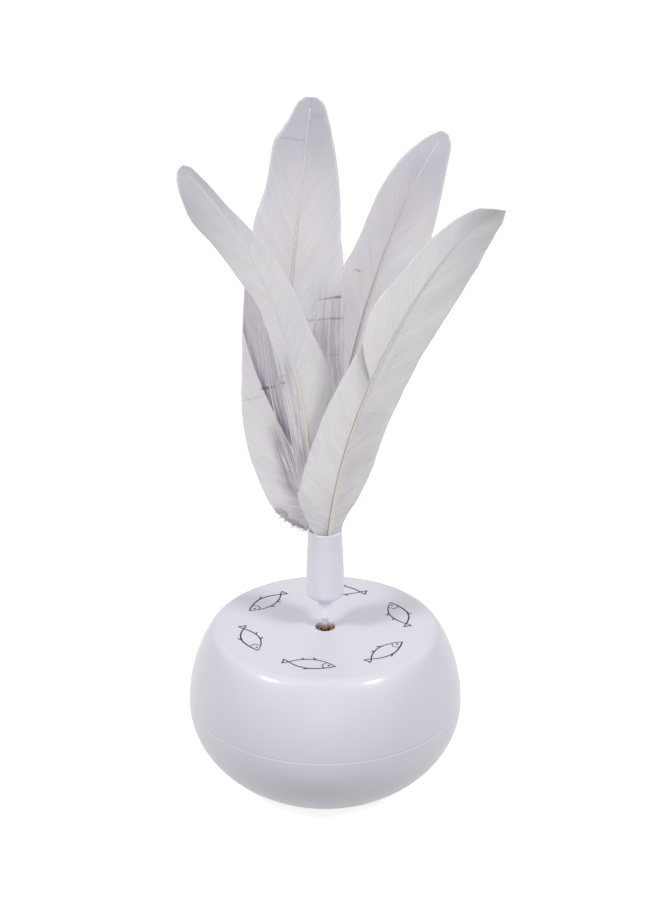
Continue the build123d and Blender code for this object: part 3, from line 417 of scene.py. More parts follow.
FEATHERS = {
    "feather_front_right": {
        "length": 150 * MM,
        "end": 0.998,
        "width": 26 * MM,
        "foot": (0.85 * QUILL_PITCH, -2 * QUILL_ROW),
        "curve_shares": [(0.04, -0.055, 0.44), (0.30, -0.135, 0.86), (0.375, -0.21, 0.875)],
        "turn": (12, -12),
        "left_shares": [0.21, 0.35, 0.49, 0.46, 0.43, 0.38, 0.33, 0.42, 0.35, 0.30, 0.23, 0.18, 0.13, 0.06],
        "right_shares": [0.14, 0.19, 0.33, 0.43, 0.43, 0.46, 0.46, 0.48, 0.48, 0.43, 0.33, 0.22, 0.16, 0.08],
        "splits": [
            # side, root, start along the barb, gap in mm, lift of the upper part in mm
            ("left", 0.43, 0.04, -2.4, 1.0),
        ],
        # how far the vane is painted paler, low down and high up, as painted fill light against shade
        "painted_fill": (1.0, 0.7),
        "tip": 0.3,
        "glow": 0.2,
        # along, across from and to, strength
        "bars": [(0.34, 0.10, 0.42, 0.12)],
        "patches": [
            # violet patches, partly the vane's own tint and partly painted shade where feathers overlap:
            # along from and to, across from and to, strength, streaks by barb or by shaft
            (0.08, 0.34, 0.05, 0.40, 0.16, "barb"),
            (0.36, 0.58, 0.04, 0.20, 0.10, "shaft"),
            (-0.05, 0.10, -0.50, 0.50, 0.14, "barb"),
        ],
        "rachis_radii": (1.0, 0.2),
        # the shaft's colour low down and high up, the colour of the painted shade at its sides,
        # which also tints its grain, and how strong the painted shade at each side is
        "horn": ((236, 232, 224), (232, 229, 230), (128, 116, 122)),
        "horn_edge_shades": (0.85, 0.1),
    },
    "feather_front_left": {
        "length": 152 * MM,
        "end": 1,
        "width": 24 * MM,
        "foot": (-QUILL_PITCH, -QUILL_ROW),
        "curve_shares": [(-0.03, -0.02, 0.16), (-0.005, -0.055, 0.60), (-0.295, -0.085, 0.91)],
        "turn": (0, 18),
        "left_shares": [0.12, 0.15, 0.19, 0.22, 0.24, 0.25, 0.21, 0.21, 0.29, 0.35, 0.39, 0.28, 0.17, 0.07],
        "right_shares": [0.12, 0.09, 0.11, 0.16, 0.30, 0.49, 0.38, 0.34, 0.29, 0.19, 0.12, 0.11, 0.10, 0.05],
        "splits": [],
        "painted_fill": (0.6, 0.3),
        "tip": 0.85,
        "glow": 0.2,
        "bars": [(0.405, -0.32, -0.16, 0.40), (0.425, -0.34, -0.12, 0.22)],
        "patches": [
            (0.16, 0.46, -0.40, -0.04, 0.46, "shaft"),
            (0.62, 0.85, 0.12, 0.34, 0.06, "shaft"),
            (0.10, 0.24, -0.30, 0.20, 0.12, "barb"),
        ],
        "rachis_radii": (0.9, 0.16),
        "horn": ((236, 231, 222), (234, 231, 232), (178, 164, 158)),
        "horn_edge_shades": (0.1, 0.4),
    },
    "feather_tall": {
        "length": 158 * MM,
        "end": 1,
        "width": 36 * MM,
        "foot": (0, 0),
        "curve_shares": [(-0.12, 0.015, 0.36), (-0.085, 0.03, 0.42), (-0.028, 0.04, 0.98)],
        "turn": (0, 4),
        "left_shares": [0.08, 0.06, 0.04, 0.03, 0.05, 0.11, 0.22, 0.37, 0.40, 0.32, 0.30, 0.18, 0.12, 0.05],
        "right_shares": [0.08, 0.10, 0.23, 0.40, 0.50, 0.53, 0.52, 0.49, 0.42, 0.36, 0.28, 0.19, 0.13, 0.05],
        "splits": [],
        "painted_fill": (1.0, 0.1),
        "tip": 0.85,
        "glow": 0.45,
        "bars": [
            (0.960, 0.02, 0.13, 0.16),
            (0.908, -0.25, -0.01, 0.20),
            (0.948, 0.00, 0.03, 0.24),
            (0.550, 0.28, 0.56, 0.40),
            (0.552, 0.42, 0.56, 0.48),
            (0.500, 0.15, 0.54, 0.30),
            (0.501, 0.38, 0.54, 0.35),
            (0.410, 0.34, 0.50, 0.22),
        ],
        "patches": [
            (0.24, 0.56, 0.22, 0.60, 0.30, "shaft"),
            (0.42, 0.78, -0.42, 0.40, 0.05, "barb"),
            (0.79, 0.84, -0.34, -0.24, 0.10, "barb"),
            (0.86, 0.97, 0.02, 0.16, 0.06, "barb"),
        ],
        "rachis_radii": (1.0, 0.2),
        "horn": ((230, 220, 219), (236, 232, 234), (158, 138, 144)),
        "horn_edge_shades": (0.6, 0.75),
    },
    "feather_rear_right": {
        "length": 150 * MM,
        "end": 1,
        "width": 28 * MM,
        "foot": (QUILL_PITCH, QUILL_ROW),
        "curve_shares": [(-0.01, 0.05, 0.20), (0.09, 0.125, 0.66), (0.256, 0.19, 0.894)],
        "turn": (0, -12),
        "left_shares": [0.10, 0.14, 0.20, 0.28, 0.37, 0.44, 0.44, 0.43, 0.36, 0.36, 0.31, 0.20, 0.10, 0.04],
        "right_shares": [0.12, 0.10, 0.16, 0.25, 0.34, 0.40, 0.47, 0.49, 0.48, 0.42, 0.33, 0.22, 0.15, 0.06],
        "splits": [],
        "painted_fill": (0.8, 0.0),
        "tip": 0.85,
        "glow": 0.45,
        "bars": [(0.620, -0.28, -0.20, 0.45)],
        "patches": [
            (0.20, 0.56, -0.40, 0.00, 0.05, "shaft"),
            (0.42, 0.76, -0.44, 0.44, 0.03, "barb"),
            (0.74, 0.95, -0.10, 0.20, 0.05, "barb"),
        ],
        "rachis_radii": (1.15, 0.2),
        "horn": ((196, 180, 176), (228, 223, 224), (156, 138, 142)),
        "horn_edge_shades": (0.4, 0.2),
    },
    "feather_rear_left": {
        "length": 142 * MM,
        "end": 1,
        "width": 28 * MM,
        "foot": (-0.85 * QUILL_PITCH, 2 * QUILL_ROW),
        "curve_shares": [(-0.12, 0.05, 0.16), (-0.20, 0.155, 0.55), (-0.086, 0.25, 0.916)],
        "turn": (0, 12),
        "left_shares": [0.14, 0.31, 0.42, 0.44, 0.41, 0.33, 0.26, 0.22, 0.19, 0.12, 0.07, 0.06, 0.03, 0.02],
        "right_shares": [0.05, 0.12, 0.22, 0.32, 0.38, 0.43, 0.46, 0.46, 0.42, 0.34, 0.25, 0.14, 0.05, 0.02],
        "splits": [],
        "painted_fill": (0.6, 0.5),
        "tip": 0.85,
        "glow": 0.3,
        "bars": [(0.368, -0.11, 0.06, 0.90), (0.372, -0.09, 0.02, 0.60), (0.350, -0.36, -0.12, 0.16)],
        "patches": [
            (0.09, 0.26, -0.13, 0.30, 0.60, "shaft"),
            (0.05, 0.16, -0.20, 0.30, 0.25, "barb"),
            (-0.05, 0.07, -0.50, 0.20, 0.34, "barb"),
        ],
        # painted shade beyond a line across the vane: the line is offset + slope * along, and the vane is
        # painted darker beyond it
        "fold_shade": {"offset": 0.33, "slope": -1.13, "low": 0.11, "high": 0.66},
        "rachis_radii": (0.45, 0.10),
        "horn": ((228, 225, 227), (233, 231, 233), (176, 168, 178)),
        "horn_edge_shades": (0.2, 0.2),
    },
}


def smooth_through(places, values):
    """A smooth function through these values that never swings past them."""
    x = np.array(places, float)
    y = np.array(values, float)
    step = np.diff(x)
    slope = np.diff(y) / step
    tangent = np.zeros(len(x))
    tangent[0], tangent[-1] = slope[0], slope[-1]
    for i in range(1, len(x) - 1):
        if slope[i - 1] * slope[i] > 0:
            first = 2 * step[i] + step[i - 1]
            second = step[i] + 2 * step[i - 1]
            tangent[i] = (first + second) / (first / slope[i - 1] + second / slope[i])

    def value(at):
        at = np.clip(np.asarray(at, float), x[0], x[-1])
        i = np.clip(np.searchsorted(x, at, side="right") - 1, 0, len(step) - 1)
        h = step[i]
        t = (at - x[i]) / h
        return (
            (1 + 2 * t) * (1 - t) ** 2 * y[i]
            + t * (1 - t) ** 2 * h * tangent[i]
            + t * t * (3 - 2 * t) * y[i + 1]
            + t * t * (t - 1) * h * tangent[i + 1]
        )

    return value


class Spine:
    """A feather's rachis: its line, and the directions across and out of the vane along it."""

    STEPS = 400
    # the share ahead and behind that gives the direction along
    NEAR = 0.01

    def __init__(self, feather):
        self.turn = feather["turn"]
        foot = np.array([*feather["foot"], MOUTH_Z])
        points = [foot] + [foot + np.array(s) * feather["length"] for s in feather["curve_shares"]]
        t = np.linspace(0, 1, self.STEPS + 1)[:, None]
        self.line = (
            (1 - t) ** 3 * points[0]
            + 3 * (1 - t) ** 2 * t * points[1]
            + 3 * (1 - t) * t * t * points[2]
            + t**3 * points[3]
        )
        lengths = np.linalg.norm(np.diff(self.line, axis=0), axis=1)
        walked = np.concatenate([[0], np.cumsum(lengths)])
        self.shares = walked / walked[-1]
        self.true_length = walked[-1]

    def point(self, share):
        share = np.clip(share, 0, 1)
        return np.stack([np.interp(share, self.shares, self.line[:, k]) for k in range(3)], -1)

    def at(self, share):
        """Points, and the directions along, across and out, at these shares of the length."""
        share = np.asarray(share, float)
        held = np.clip(share, 0, 1)
        along = self.point(held + self.NEAR) - self.point(held - self.NEAR)
        along /= np.linalg.norm(along, axis=-1, keepdims=True)
        point = self.point(held) + along * ((share - held) * self.true_length)[..., None]
        side = np.zeros_like(along)
        side[..., 0] = 1
        across = side - along * along[..., :1]
        across /= np.linalg.norm(across, axis=-1, keepdims=True)
        turn = np.radians(self.turn[0] + (self.turn[1] - self.turn[0]) * held)[..., None]
        across = across * np.cos(turn) + np.cross(along, across) * np.sin(turn)
        return point, along, across, np.cross(along, across)


# The barbs leave the rachis at an angle in degrees that closes from foot to tip.
BARB_ROOT_SHARES = [-0.02, 0.0, 0.06, 0.16, 0.5, 1.0]
BARB_ANGLES = [80, 78, 56, 40, 31, 22]
FIRST_ROOT_SHARE = -0.015
LAST_ROOT_SHARE = 0.9995
BARB_CURL = 0.12
TIP_ROUNDING = 0.045
HALVINGS = 30

# Waverings along the vane: how many barbs from one knot to the next, and their strength.
# Barbs that reach less far than the calm reach ripple less.
EDGE_WAVER = (11, 0.006)
FINE_EDGE_WAVER = (2, 0.002)
FINE_RIDGE = (5, 0.015 * MM)
RIDGE = (18, 0.14 * MM)
WAVE = (48, 0.6 * MM)
CALM_REACH = 3.5 * MM

# How a split opens. A fade is a number of barbs, the lower side drops by a share of the
# upper side's rise, and the painted highlight and painted shade of the lips are full after
# 1 / LIP_GROWTH of the split.
GAP_FADE = 9
LIFT_FADE = 24
DROP_FADE = 16
DROP_SHARE = 0.4
RIM_FADE = 1.2
SHADE_FADE = 7
LIP_GROWTH = 8


def barb_lag(root_share):
    """How far a barb runs on along the rachis for each unit that it goes out, by where it starts."""
    return 1 / np.tan(np.radians(np.interp(root_share, BARB_ROOT_SHARES, BARB_ANGLES)))


def waver(generator, reach, strength):
    """A smooth random value for each barb, with a knot at every so many barbs."""
    knots = np.arange(0, BARBS + reach, reach)
    heights = generator.normal(0, strength, len(knots))
    return smooth_through(knots, heights)(np.arange(BARBS))


def barb_reaches(feather, widths, roots, lag):
    """How far out each barb goes until it meets the vane's outline."""
    end = feather["end"]
    width_at = smooth_through(STATION_SHARES, [w * feather["width"] for w in widths])
    low = np.zeros(BARBS)
    high = np.full(BARBS, feather["width"])
    for _ in range(HALVINGS):
        middle = (low + high) / 2
        share = roots + middle * lag * (1 + BARB_CURL)
        closing = np.sqrt(np.clip((end - share) / TIP_ROUNDING, 0, 1)) if end < 1 else share < 1
        inside = width_at(share) * closing > middle
        low = np.where(inside, middle, low)
        high = np.where(inside, high, middle)
    return (low + high) / 2


def open_splits(feather, side, steps):
    """What the splits of a vane do at each barb and step, and where each opens.

    That is the push along the rachis, the lift, and how much the place takes of the
    painted highlight on the rim above the split and of the painted shade below it.
    """
    push, lift, rim, shade = np.zeros((4, BARBS, BARB_STEPS))
    open_from = []
    for split_side, place, start, gap, rise in feather["splits"]:
        if (split_side == "left") != (side < 0):
            continue
        index = int(place * BARBS)
        distance = np.arange(BARBS) - index + 0.5
        grow = np.clip((steps - start) / (1 - start), 0, 1)
        fade = np.sign(distance) * np.exp(-np.abs(distance) / GAP_FADE)
        push += np.outer(fade, grow**1.5) * gap * MM / 2
        below = -DROP_SHARE * np.exp(distance / DROP_FADE)
        raised = np.where(distance > 0, np.exp(-distance / LIFT_FADE), below)
        lift += np.outer(raised, grow**0.6) * rise * MM
        shown = np.clip(grow * LIP_GROWTH, 0, 1)
        # painted highlight on the lip above the split, painted shade below it
        rim += np.outer(np.where(distance > 0, np.exp(-distance / RIM_FADE), 0), shown)
        shade += np.outer(np.where(distance < 0, np.exp(distance / SHADE_FADE), 0), shown)
        open_from.append((index, int(np.ceil(start * (BARB_STEPS - 1)))))
    return push, lift, np.stack([rim, shade], -1), open_from


def camber(feather, out):
    """How far the vane curves out of its plane at a distance from the rachis."""
    return CAMBER_SHARE * feather["width"] * (2 * out / feather["width"]) ** 2


def vane_points(feather, spine, side, seed):
    """The grid of one vane: barbs by steps, with its shares along and across."""
    generator = np.random.default_rng(seed)
    roots = np.linspace(FIRST_ROOT_SHARE, LAST_ROOT_SHARE * feather["end"], BARBS)
    lag = barb_lag(roots) / spine.true_length
    reach = barb_reaches(feather, feather["left_shares" if side < 0 else "right_shares"], roots, lag)
    reach *= 1 + waver(generator, *EDGE_WAVER) + waver(generator, *FINE_EDGE_WAVER)
    steps = np.linspace(0, 1, BARB_STEPS)
    out = np.outer(reach, steps)
    push, lift, lip, open_from = open_splits(feather, side, steps)
    share = roots[:, None] + out * lag[:, None] * (1 + BARB_CURL * steps**2)
    share += push / spine.true_length
    point, along, across, outward = spine.at(share)
    ridge = waver(generator, *FINE_RIDGE) + waver(generator, *RIDGE)
    wave = waver(generator, *WAVE)
    calm = np.clip(reach / CALM_REACH, 0, 1)
    height = camber(feather, out) - lift
    height += np.outer(ridge * calm, np.sqrt(steps)) + np.outer(wave * calm, steps**2)
    place = point + across * (side * out)[..., None] + outward * height[..., None]
    return place, share, side * out / feather["width"], lip, open_from


# How the vane's colour runs: streaks by barb and by shaft, and clouds. The shifts give
# each feather its own.
BROAD_STREAKS = (26, 0.7, 1)
FINE_STREAKS = (150, 1.5, 1)
STREAK_SHIFT = 3.7
SHAFT_LINES = (7, 40, 1)
SHAFT_SHIFT = 2.3
CLOUD_SCALE = 46
CLOUD_SPAN = (0.38, 0.62)
# where along the vane the painted fill light passes from its low to its high share
PAINTED_FILL_SPAN = (0.1, 0.75)
STREAK_SPAN = (0.42, 0.66)
STREAK_STRENGTH = 0.13
TIP_SPAN = (0.68, 0.98)
PATCH_SOFTNESS = 0.05
FOLD_SOFTNESS = 0.03
FOLD_WAVER = 0.03
BAR_SOFTNESS = 0.03
BAR_WAVER = 0.02
BAR_HALF_WIDTH = 0.0042
# painted shade below a split, and painted highlights on the rims of the vane and of a split
SPLIT_SHADE = 0.55
RIM_SPAN = (0.93, 0.985)
RIM_LIGHT = 0.75
BARB_STRENGTH = 0.06
BARB_HEIGHT = 0.12 * MM
CLEAR_SHARES = (0.1, 0.16)

# How the streaks break up patches and bars: from and to, and what they are spread to
PATCH_BARB_BREAKS = (0.36, 0.62, 0.45, 1.0)
PATCH_SHAFT_BREAKS = (0.42, 0.6, 0.0, 1.0)
BAR_BREAKS = (0.35, 0.6, 0.45, 1.0)


class VaneShader(Shader):
    """A soft vane, with the values that its patches, fold and bars are made of."""

    def __init__(self, name, seed):
        super().__init__(name)
        barb, _, self.barb_share = self.layer("barb")
        place, self.along, self.across = self.layer("place")

        def streaks(scale, offset):
            location = (seed * STREAK_SHIFT + offset, offset, seed)
            return self.noise(self.stretched(barb, scale, location), 1.0, 3, 0.55)

        self.broad = streaks(BROAD_STREAKS, 0.0)
        self.fine = streaks(FINE_STREAKS, 5.0)
        self.streak = self.math("ADD", self.times(self.broad, 0.6), self.times(self.fine, 0.4))
        self.cloudy = self.noise(self.object_place(), CLOUD_SCALE, 2)
        shafts = self.stretched(place, SHAFT_LINES, (seed * SHAFT_SHIFT, seed, 0))
        self.lines = self.noise(shafts, 1.0, 4, 0.55, 1.2)

    def drift(self, amount):
        """A small cloudy change to either side."""
        return self.times(self.math("SUBTRACT", self.cloudy, 0.5), amount)

    def ground(self, feather):
        """The vane's pale ground, painted paler lower down as fill light against the shade among the
        feathers, with its streaks and the darker tip.
        """
        colour = self.mix(self.spread(self.cloudy, *CLOUD_SPAN), VANE_WARM, VANE_COOL)
        # painted fill light: paler lower down, where the feathers shade each other
        pale = self.spread(self.along, *PAINTED_FILL_SPAN, *feather["painted_fill"])
        colour = self.mix(pale, colour, VANE_PAINTED_FILL)
        streaked = self.spread(self.streak, *STREAK_SPAN, 0.0, STREAK_STRENGTH)
        colour = self.mix(streaked, colour, VANE_STREAK)
        dark = self.spread(self.along, *TIP_SPAN, 0.0, feather["tip"])
        return self.mix(dark, colour, VANE_TIP)

    def patch(self, colour, low, high, left, right, strength, run):
        """A violet patch, partly the vane's own tint and partly painted shade where feathers overlap, broken
        up by barb or by shaft.
        """
        inside = self.times(
            self.window(self.along, low, high, PATCH_SOFTNESS),
            self.window(self.across, left, right, PATCH_SOFTNESS),
        )
        if run == "barb":
            broken = self.spread(self.streak, *PATCH_BARB_BREAKS)
        else:
            broken = self.spread(self.lines, *PATCH_SHAFT_BREAKS)
        return self.mix(self.times(broken, strength, inside), colour, VANE_VIOLET_AND_SHADE)

    def fold_shade(self, colour, offset, slope, low, high):
        """Painted shade beyond a line across the vane: darkest at the line, with dark strokes along the
        shaft.
        """
        line = self.math("ADD", self.times(self.along, slope), offset)
        away = self.math("SUBTRACT", self.across, line)
        beyond = self.math("ADD", away, self.drift(FOLD_WAVER))
        near = self.times(
            self.spread(beyond, 0.0, 0.09, 0.6, 0.0),
            self.spread(self.lines, 0.3, 0.6, 0.7, 1.0),
            self.spread(self.along, 0.36, 0.46, 1.0, 0.6),
        )
        wide = self.times(
            self.spread(self.lines, 0.35, 0.6, 0.5, 1.0),
            self.spread(self.along, 0.2, 0.5, 0.6, 0.3),
        )
        # dark strokes of the painted shade
        strokes = self.times(
            self.spread(self.lines, 0.5, 0.62, 0.0, 0.6),
            self.spread(self.along, 0.24, 0.42, 1.0, 0.0),
        )
        inside = self.window(self.along, low, high, FOLD_SOFTNESS)
        amount = self.times(self.spread(beyond, -0.008, 0.008), inside)
        colour = self.mix(self.times(amount, self.math("ADD", near, wide)), colour, VANE_VIOLET_AND_SHADE)
        return self.mix(self.times(amount, strokes), colour, VANE_FAULT_AND_SHADE)

    def bar(self, colour, share, left, right, strength):
        """A growth bar: a thin dark line across the vane, broken by the barbs."""
        along = self.math("ADD", self.along, self.drift(BAR_WAVER))
        away = self.math("ABSOLUTE", self.math("SUBTRACT", along, share))
        amount = self.times(
            self.spread(away, 0.0, BAR_HALF_WIDTH, strength, 0.0),
            self.window(self.across, left, right, BAR_SOFTNESS),
            self.spread(self.fine, *BAR_BREAKS),
        )
        return self.mix(amount, colour, VANE_FAULT_AND_SHADE)

    def edges(self, colour):
        """The painted shade below a split, and the painted highlights on the rims of the vane and of a
        split.
        """
        _, rim, shade = self.layer("lip")
        colour = self.mix(self.times(shade, SPLIT_SHADE), colour, VANE_SHADE)
        outer = self.spread(self.barb_share, *RIM_SPAN, 0.0, RIM_LIGHT)
        return self.mix(self.math("MAXIMUM", outer, rim), colour, VANE_RIM_HIGHLIGHT)


def vane_material(name, feather, seed):
    """A vane's colour on a soft surface that lets some light through."""
    s = VaneShader(name, seed)
    colour = s.ground(feather)
    for patch in feather["patches"]:
        colour = s.patch(colour, *patch)
    if "fold_shade" in feather:
        colour = s.fold_shade(colour, **feather["fold_shade"])
    for bar in feather["bars"]:
        colour = s.bar(colour, *bar)
    colour = s.edges(colour)
    normal = s.bump(s.math("ADD", s.fine, s.times(s.broad, 0.8)), BARB_STRENGTH, BARB_HEIGHT)
    face = s.principled(
        Base_Color=colour,
        Roughness=0.62,
        Normal=normal,
        Sheen_Weight=0.25,
        Sheen_Roughness=0.4,
        Specular_IOR_Level=0.3,
    )
    glow = s.node("ShaderNodeBsdfTranslucent")
    s.feed(glow.inputs["Color"], colour)
    s.feed(glow.inputs["Normal"], normal)
    clear = s.node("ShaderNodeBsdfTransparent")
    clear.inputs["Color"].default_value = VANE_CLEAR
    body = s.blend(feather["glow"], face, glow)
    return s.finish(s.blend(s.uneven(s.fine, *CLEAR_SHARES), body, clear))


def new_piece(name, points, faces, material, body, smooth=True):
    """A mesh object of these points and faces that rides on a body."""
    mesh = bpy.data.meshes.new(name)
    mesh.from_pydata([tuple(p) for p in points], [], [tuple(f) for f in faces])
    mesh.materials.append(material)
    mesh.polygons.foreach_set("use_smooth", [smooth] * len(mesh.polygons))
    mesh.update()
    piece = bpy.data.objects.new(name, mesh)
    bpy.context.scene.collection.objects.link(piece)
    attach(piece, body)
    return piece


def add_mesh(points, faces, more_points, more_faces):
    """Adds points and faces to these lists."""
    faces += [tuple(v + len(points) for v in face) for face in more_faces]
    points += [tuple(p) for p in more_points]


def add_uv(mesh, layer, table):
    """A UV layer from one pair for each point."""
    corners = np.zeros(len(mesh.loops), int)
    mesh.loops.foreach_get("vertex_index", corners)
    uv = mesh.uv_layers.new(name=layer)
    uv.data.foreach_set("uv", np.array(table, float)[corners].ravel())


def make_vanes(name, feather, seed):
    """Both vanes of a feather as one thin sheet with open splits."""
    spine = Spine(feather)
    steps = np.linspace(0, 1, BARB_STEPS)
    points, faces, barb_uv, place_uv, lip_uv = [], [], [], [], []
    for side in (-1, 1):
        place, share, out, lip, open_from = vane_points(feather, spine, side, seed * 10 + side)
        start = len(points)
        points.extend(place.reshape(-1, 3))
        roots = np.repeat(np.linspace(0, 1, BARBS), BARB_STEPS)
        # the right vane's streaks come from another place of the noise
        barb_uv.extend(zip(roots + (side > 0) * 2, np.tile(steps, BARBS)))
        place_uv.extend(zip(share.ravel(), out.ravel()))
        lip_uv.extend(lip.reshape(-1, 2))
        for i in range(BARBS - 1):
            limit = min([step for index, step in open_from if index == i + 1] + [BARB_STEPS - 1])
            for j in range(limit):
                a = start + i * BARB_STEPS + j
                b = a + BARB_STEPS
                faces.append((a, a + 1, b + 1, b) if side > 0 else (a, b, b + 1, a + 1))
    material = vane_material(name + "_vane", feather, seed)
    piece = new_piece(name + "_vanes", points, faces, material, HEAD)
    add_uv(piece.data, "barb", barb_uv)
    add_uv(piece.data, "place", place_uv)
    add_uv(piece.data, "lip", lip_uv)
    solid = piece.modifiers.new("thickness", "SOLIDIFY")
    solid.thickness = VANE_THICKNESS
    solid.offset = 0
    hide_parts(name)
    return spine


def tube_mesh(centres, radii, sides, squash=1.0, acrosses=None, outwards=None):
    """Points and faces of a closed tube along these centres."""
    centres = np.asarray(centres)
    count = len(centres)
    if acrosses is None:
        along = np.gradient(centres, axis=0)
        along /= np.linalg.norm(along, axis=1, keepdims=True)
        upright = abs(along[0][2]) >= 0.9
        acrosses = np.cross(along, [1.0, 0.0, 0.0] if upright else [0.0, 0.0, 1.0])
        acrosses /= np.linalg.norm(acrosses, axis=1, keepdims=True)
        outwards = np.cross(along, acrosses)
    turns = np.linspace(0, 2 * np.pi, sides, endpoint=False)
    ring = (
        acrosses[:, None, :] * np.cos(turns)[None, :, None]
        + outwards[:, None, :] * (np.sin(turns) * squash)[None, :, None]
    )
    points = (centres[:, None, :] + ring * np.asarray(radii)[:, None, None]).reshape(-1, 3)
    faces = []
    for i in range(count - 1):
        for k in range(sides):
            a = i * sides + k
            b = i * sides + (k + 1) % sides
            faces.append((a, b, b + sides, a + sides))
    faces.append(tuple(range(sides - 1, -1, -1)))
    faces.append(tuple((count - 1) * sides + k for k in range(sides)))
    return points, faces


PITH_GRAIN = 900
PITH_STRENGTH = 0.1
PITH_HEIGHT = 0.03 * MM
PITH_DEPTH = 1.5 * MM


def rachis_material(name, feather):
    """The shaft of a feather, with painted shade along its sides."""
    s = Shader(name)
    _, along, side = s.layer("round")
    low, high, edge = (linear(*colour) for colour in feather["horn"])
    left, right = feather["horn_edge_shades"]
    pith = s.noise(s.object_place(), PITH_GRAIN, 3)
    colour = s.mix(s.spread(along, 0.1, 0.8), low, high)
    colour = s.mix(s.spread(pith, 0.4, 0.7, 0.0, 0.12), colour, edge)
    # painted shade along the shaft's left and right sides
    colour = s.mix(s.spread(side, -0.95, -0.5, left, 0.0), colour, edge)
    colour = s.mix(s.spread(side, 0.5, 0.95, 0.0, right), colour, edge)
    shader = s.principled(
        Base_Color=colour,
        Roughness=s.uneven(pith, 0.3, 0.45),
        Normal=s.bump(pith, PITH_STRENGTH, PITH_HEIGHT),
        Subsurface_Weight=0.2,
        Subsurface_Scale=PITH_DEPTH,
    )
    return s.finish(shader)


RACHIS_SIDES = 12
RACHIS_STEPS = 90
RACHIS_FLATNESS = 0.6
RACHIS_END_SHARE = 0.975
TAPER_POWER = 1.2
QUILL_STEPS = 7


def make_rachis(name, feather, spine):
    """The shaft from its quill in the plug to the feather's tip."""
    foot = feather["foot"]
    low_radius, tip_radius = (radius * MM for radius in feather["rachis_radii"])
    shares = np.linspace(0, RACHIS_END_SHARE * feather["end"], RACHIS_STEPS)
    point, _, across, outward = spine.at(shares)
    quill = [(*foot, z) for z in np.linspace(QUILL_FOOT_Z, MOUTH_Z, QUILL_STEPS + 1)[:-1]]
    taper = tip_radius + (low_radius - tip_radius) * (1 - shares) ** TAPER_POWER
    radii = np.concatenate([np.linspace(QUILL_RADIUS, low_radius, QUILL_STEPS), taper])
    acrosses = np.concatenate([np.repeat(across[:1], QUILL_STEPS, 0), across])
    outwards = np.concatenate([np.repeat(outward[:1], QUILL_STEPS, 0), outward])
    centres = np.concatenate([quill, point])
    points, faces = tube_mesh(centres, radii, RACHIS_SIDES, RACHIS_FLATNESS, acrosses, outwards)
    material = rachis_material(name + "_horn", feather)
    piece = new_piece(name + "_rachis", points, faces, material, HEAD)
    places = np.concatenate([np.zeros(QUILL_STEPS), shares])
    turns = np.cos(np.linspace(0, 2 * np.pi, RACHIS_SIDES, endpoint=False))
    table = np.stack([np.repeat(places, RACHIS_SIDES), np.tile(turns, len(places))], 1)
    add_uv(piece.data, "round", table)


spines = {}
for number, (name, feather) in enumerate(FEATHERS.items()):
    spines[name] = make_vanes(name, feather, number + 1)
    make_rachis(name, feather, spines[name])


# Down: short loose strands at the foot of the rear left feather

# Places are shares along and across, headings are degrees as mean and spread, and lengths,
# depth and radii are mm.
DOWN_FEATHER = "feather_rear_left"
DOWN_SEED = 41
DOWN_STRANDS = 130
DOWN_STEPS = 8
DOWN_SIDES = 4
DOWN_PLACE_SHARES = (0.003, 0.085)
DOWN_OUT_SHARES = (0.72, 1.0)
DOWN_HEADING = (-30, 36)
DOWN_BEND = 26
DOWN_TIP_OUT = 0.35
DOWN_LENGTHS = (1.2, 3.4)
DOWN_DEPTH = 0.5
DOWN_RADII = (0.07, 0.02)
DOWN_GRAIN = 700


def down_material():
    s = Shader("down_soft")
    shade = s.spread(s.noise(s.object_place(), DOWN_GRAIN, 2), 0.35, 0.65)
    colour = s.mix(shade, DOWN_GREY, DOWN_DARK)
    return s.finish(s.principled(Base_Color=colour, Roughness=0.8, Sheen_Weight=0.3))


def make_down():
    generator = np.random.default_rng(DOWN_SEED)
    spine, feather = spines[DOWN_FEATHER], FEATHERS[DOWN_FEATHER]
    width_at = smooth_through(STATION_SHARES, [w * feather["width"] for w in feather["left_shares"]])
    points, faces = [], []
    for _ in range(DOWN_STRANDS):
        share = generator.uniform(*DOWN_PLACE_SHARES)
        out = width_at(share) * generator.uniform(*DOWN_OUT_SHARES)
        point, along, across, outward = (v[0] for v in spine.at(np.array([share])))
        heading = math.radians(generator.normal(*DOWN_HEADING))
        bend = math.radians(generator.normal(0, DOWN_BEND))
        tip_out = generator.normal(0, DOWN_TIP_OUT)
        step = generator.uniform(*DOWN_LENGTHS) * MM / DOWN_STEPS
        depth = camber(feather, out) - generator.uniform(0.0, DOWN_DEPTH) * MM
        line = [point - across * out + outward * depth]
        for k in range(DOWN_STEPS):
            turn = heading + bend * k / DOWN_STEPS
            way = -across * math.cos(turn) + along * math.sin(turn) + outward * tip_out
            line.append(line[-1] + way * step)
        radii = np.linspace(*DOWN_RADII, DOWN_STEPS + 1) * MM
        add_mesh(points, faces, *tube_mesh(line, radii, DOWN_SIDES))
    piece = new_piece("feather_down", points, faces, down_material(), HEAD)


make_down()


# Fish drawn in thin ink lines in a ring on the top

FISH_COUNT = 6
FISH_RING_RADIUS = 27.6 * MM
FISH_LENGTH = 18.6 * MM
FISH_WIDTH = 6.6 * MM
FISH_FIRST_ANGLE = 18.5
LINE_WIDTH = 0.5 * MM
LINE_SWELL = 0.25
LINE_STEPS = 26
INK_RISE = 0.03 * MM
INK_SINK = 0.02 * MM

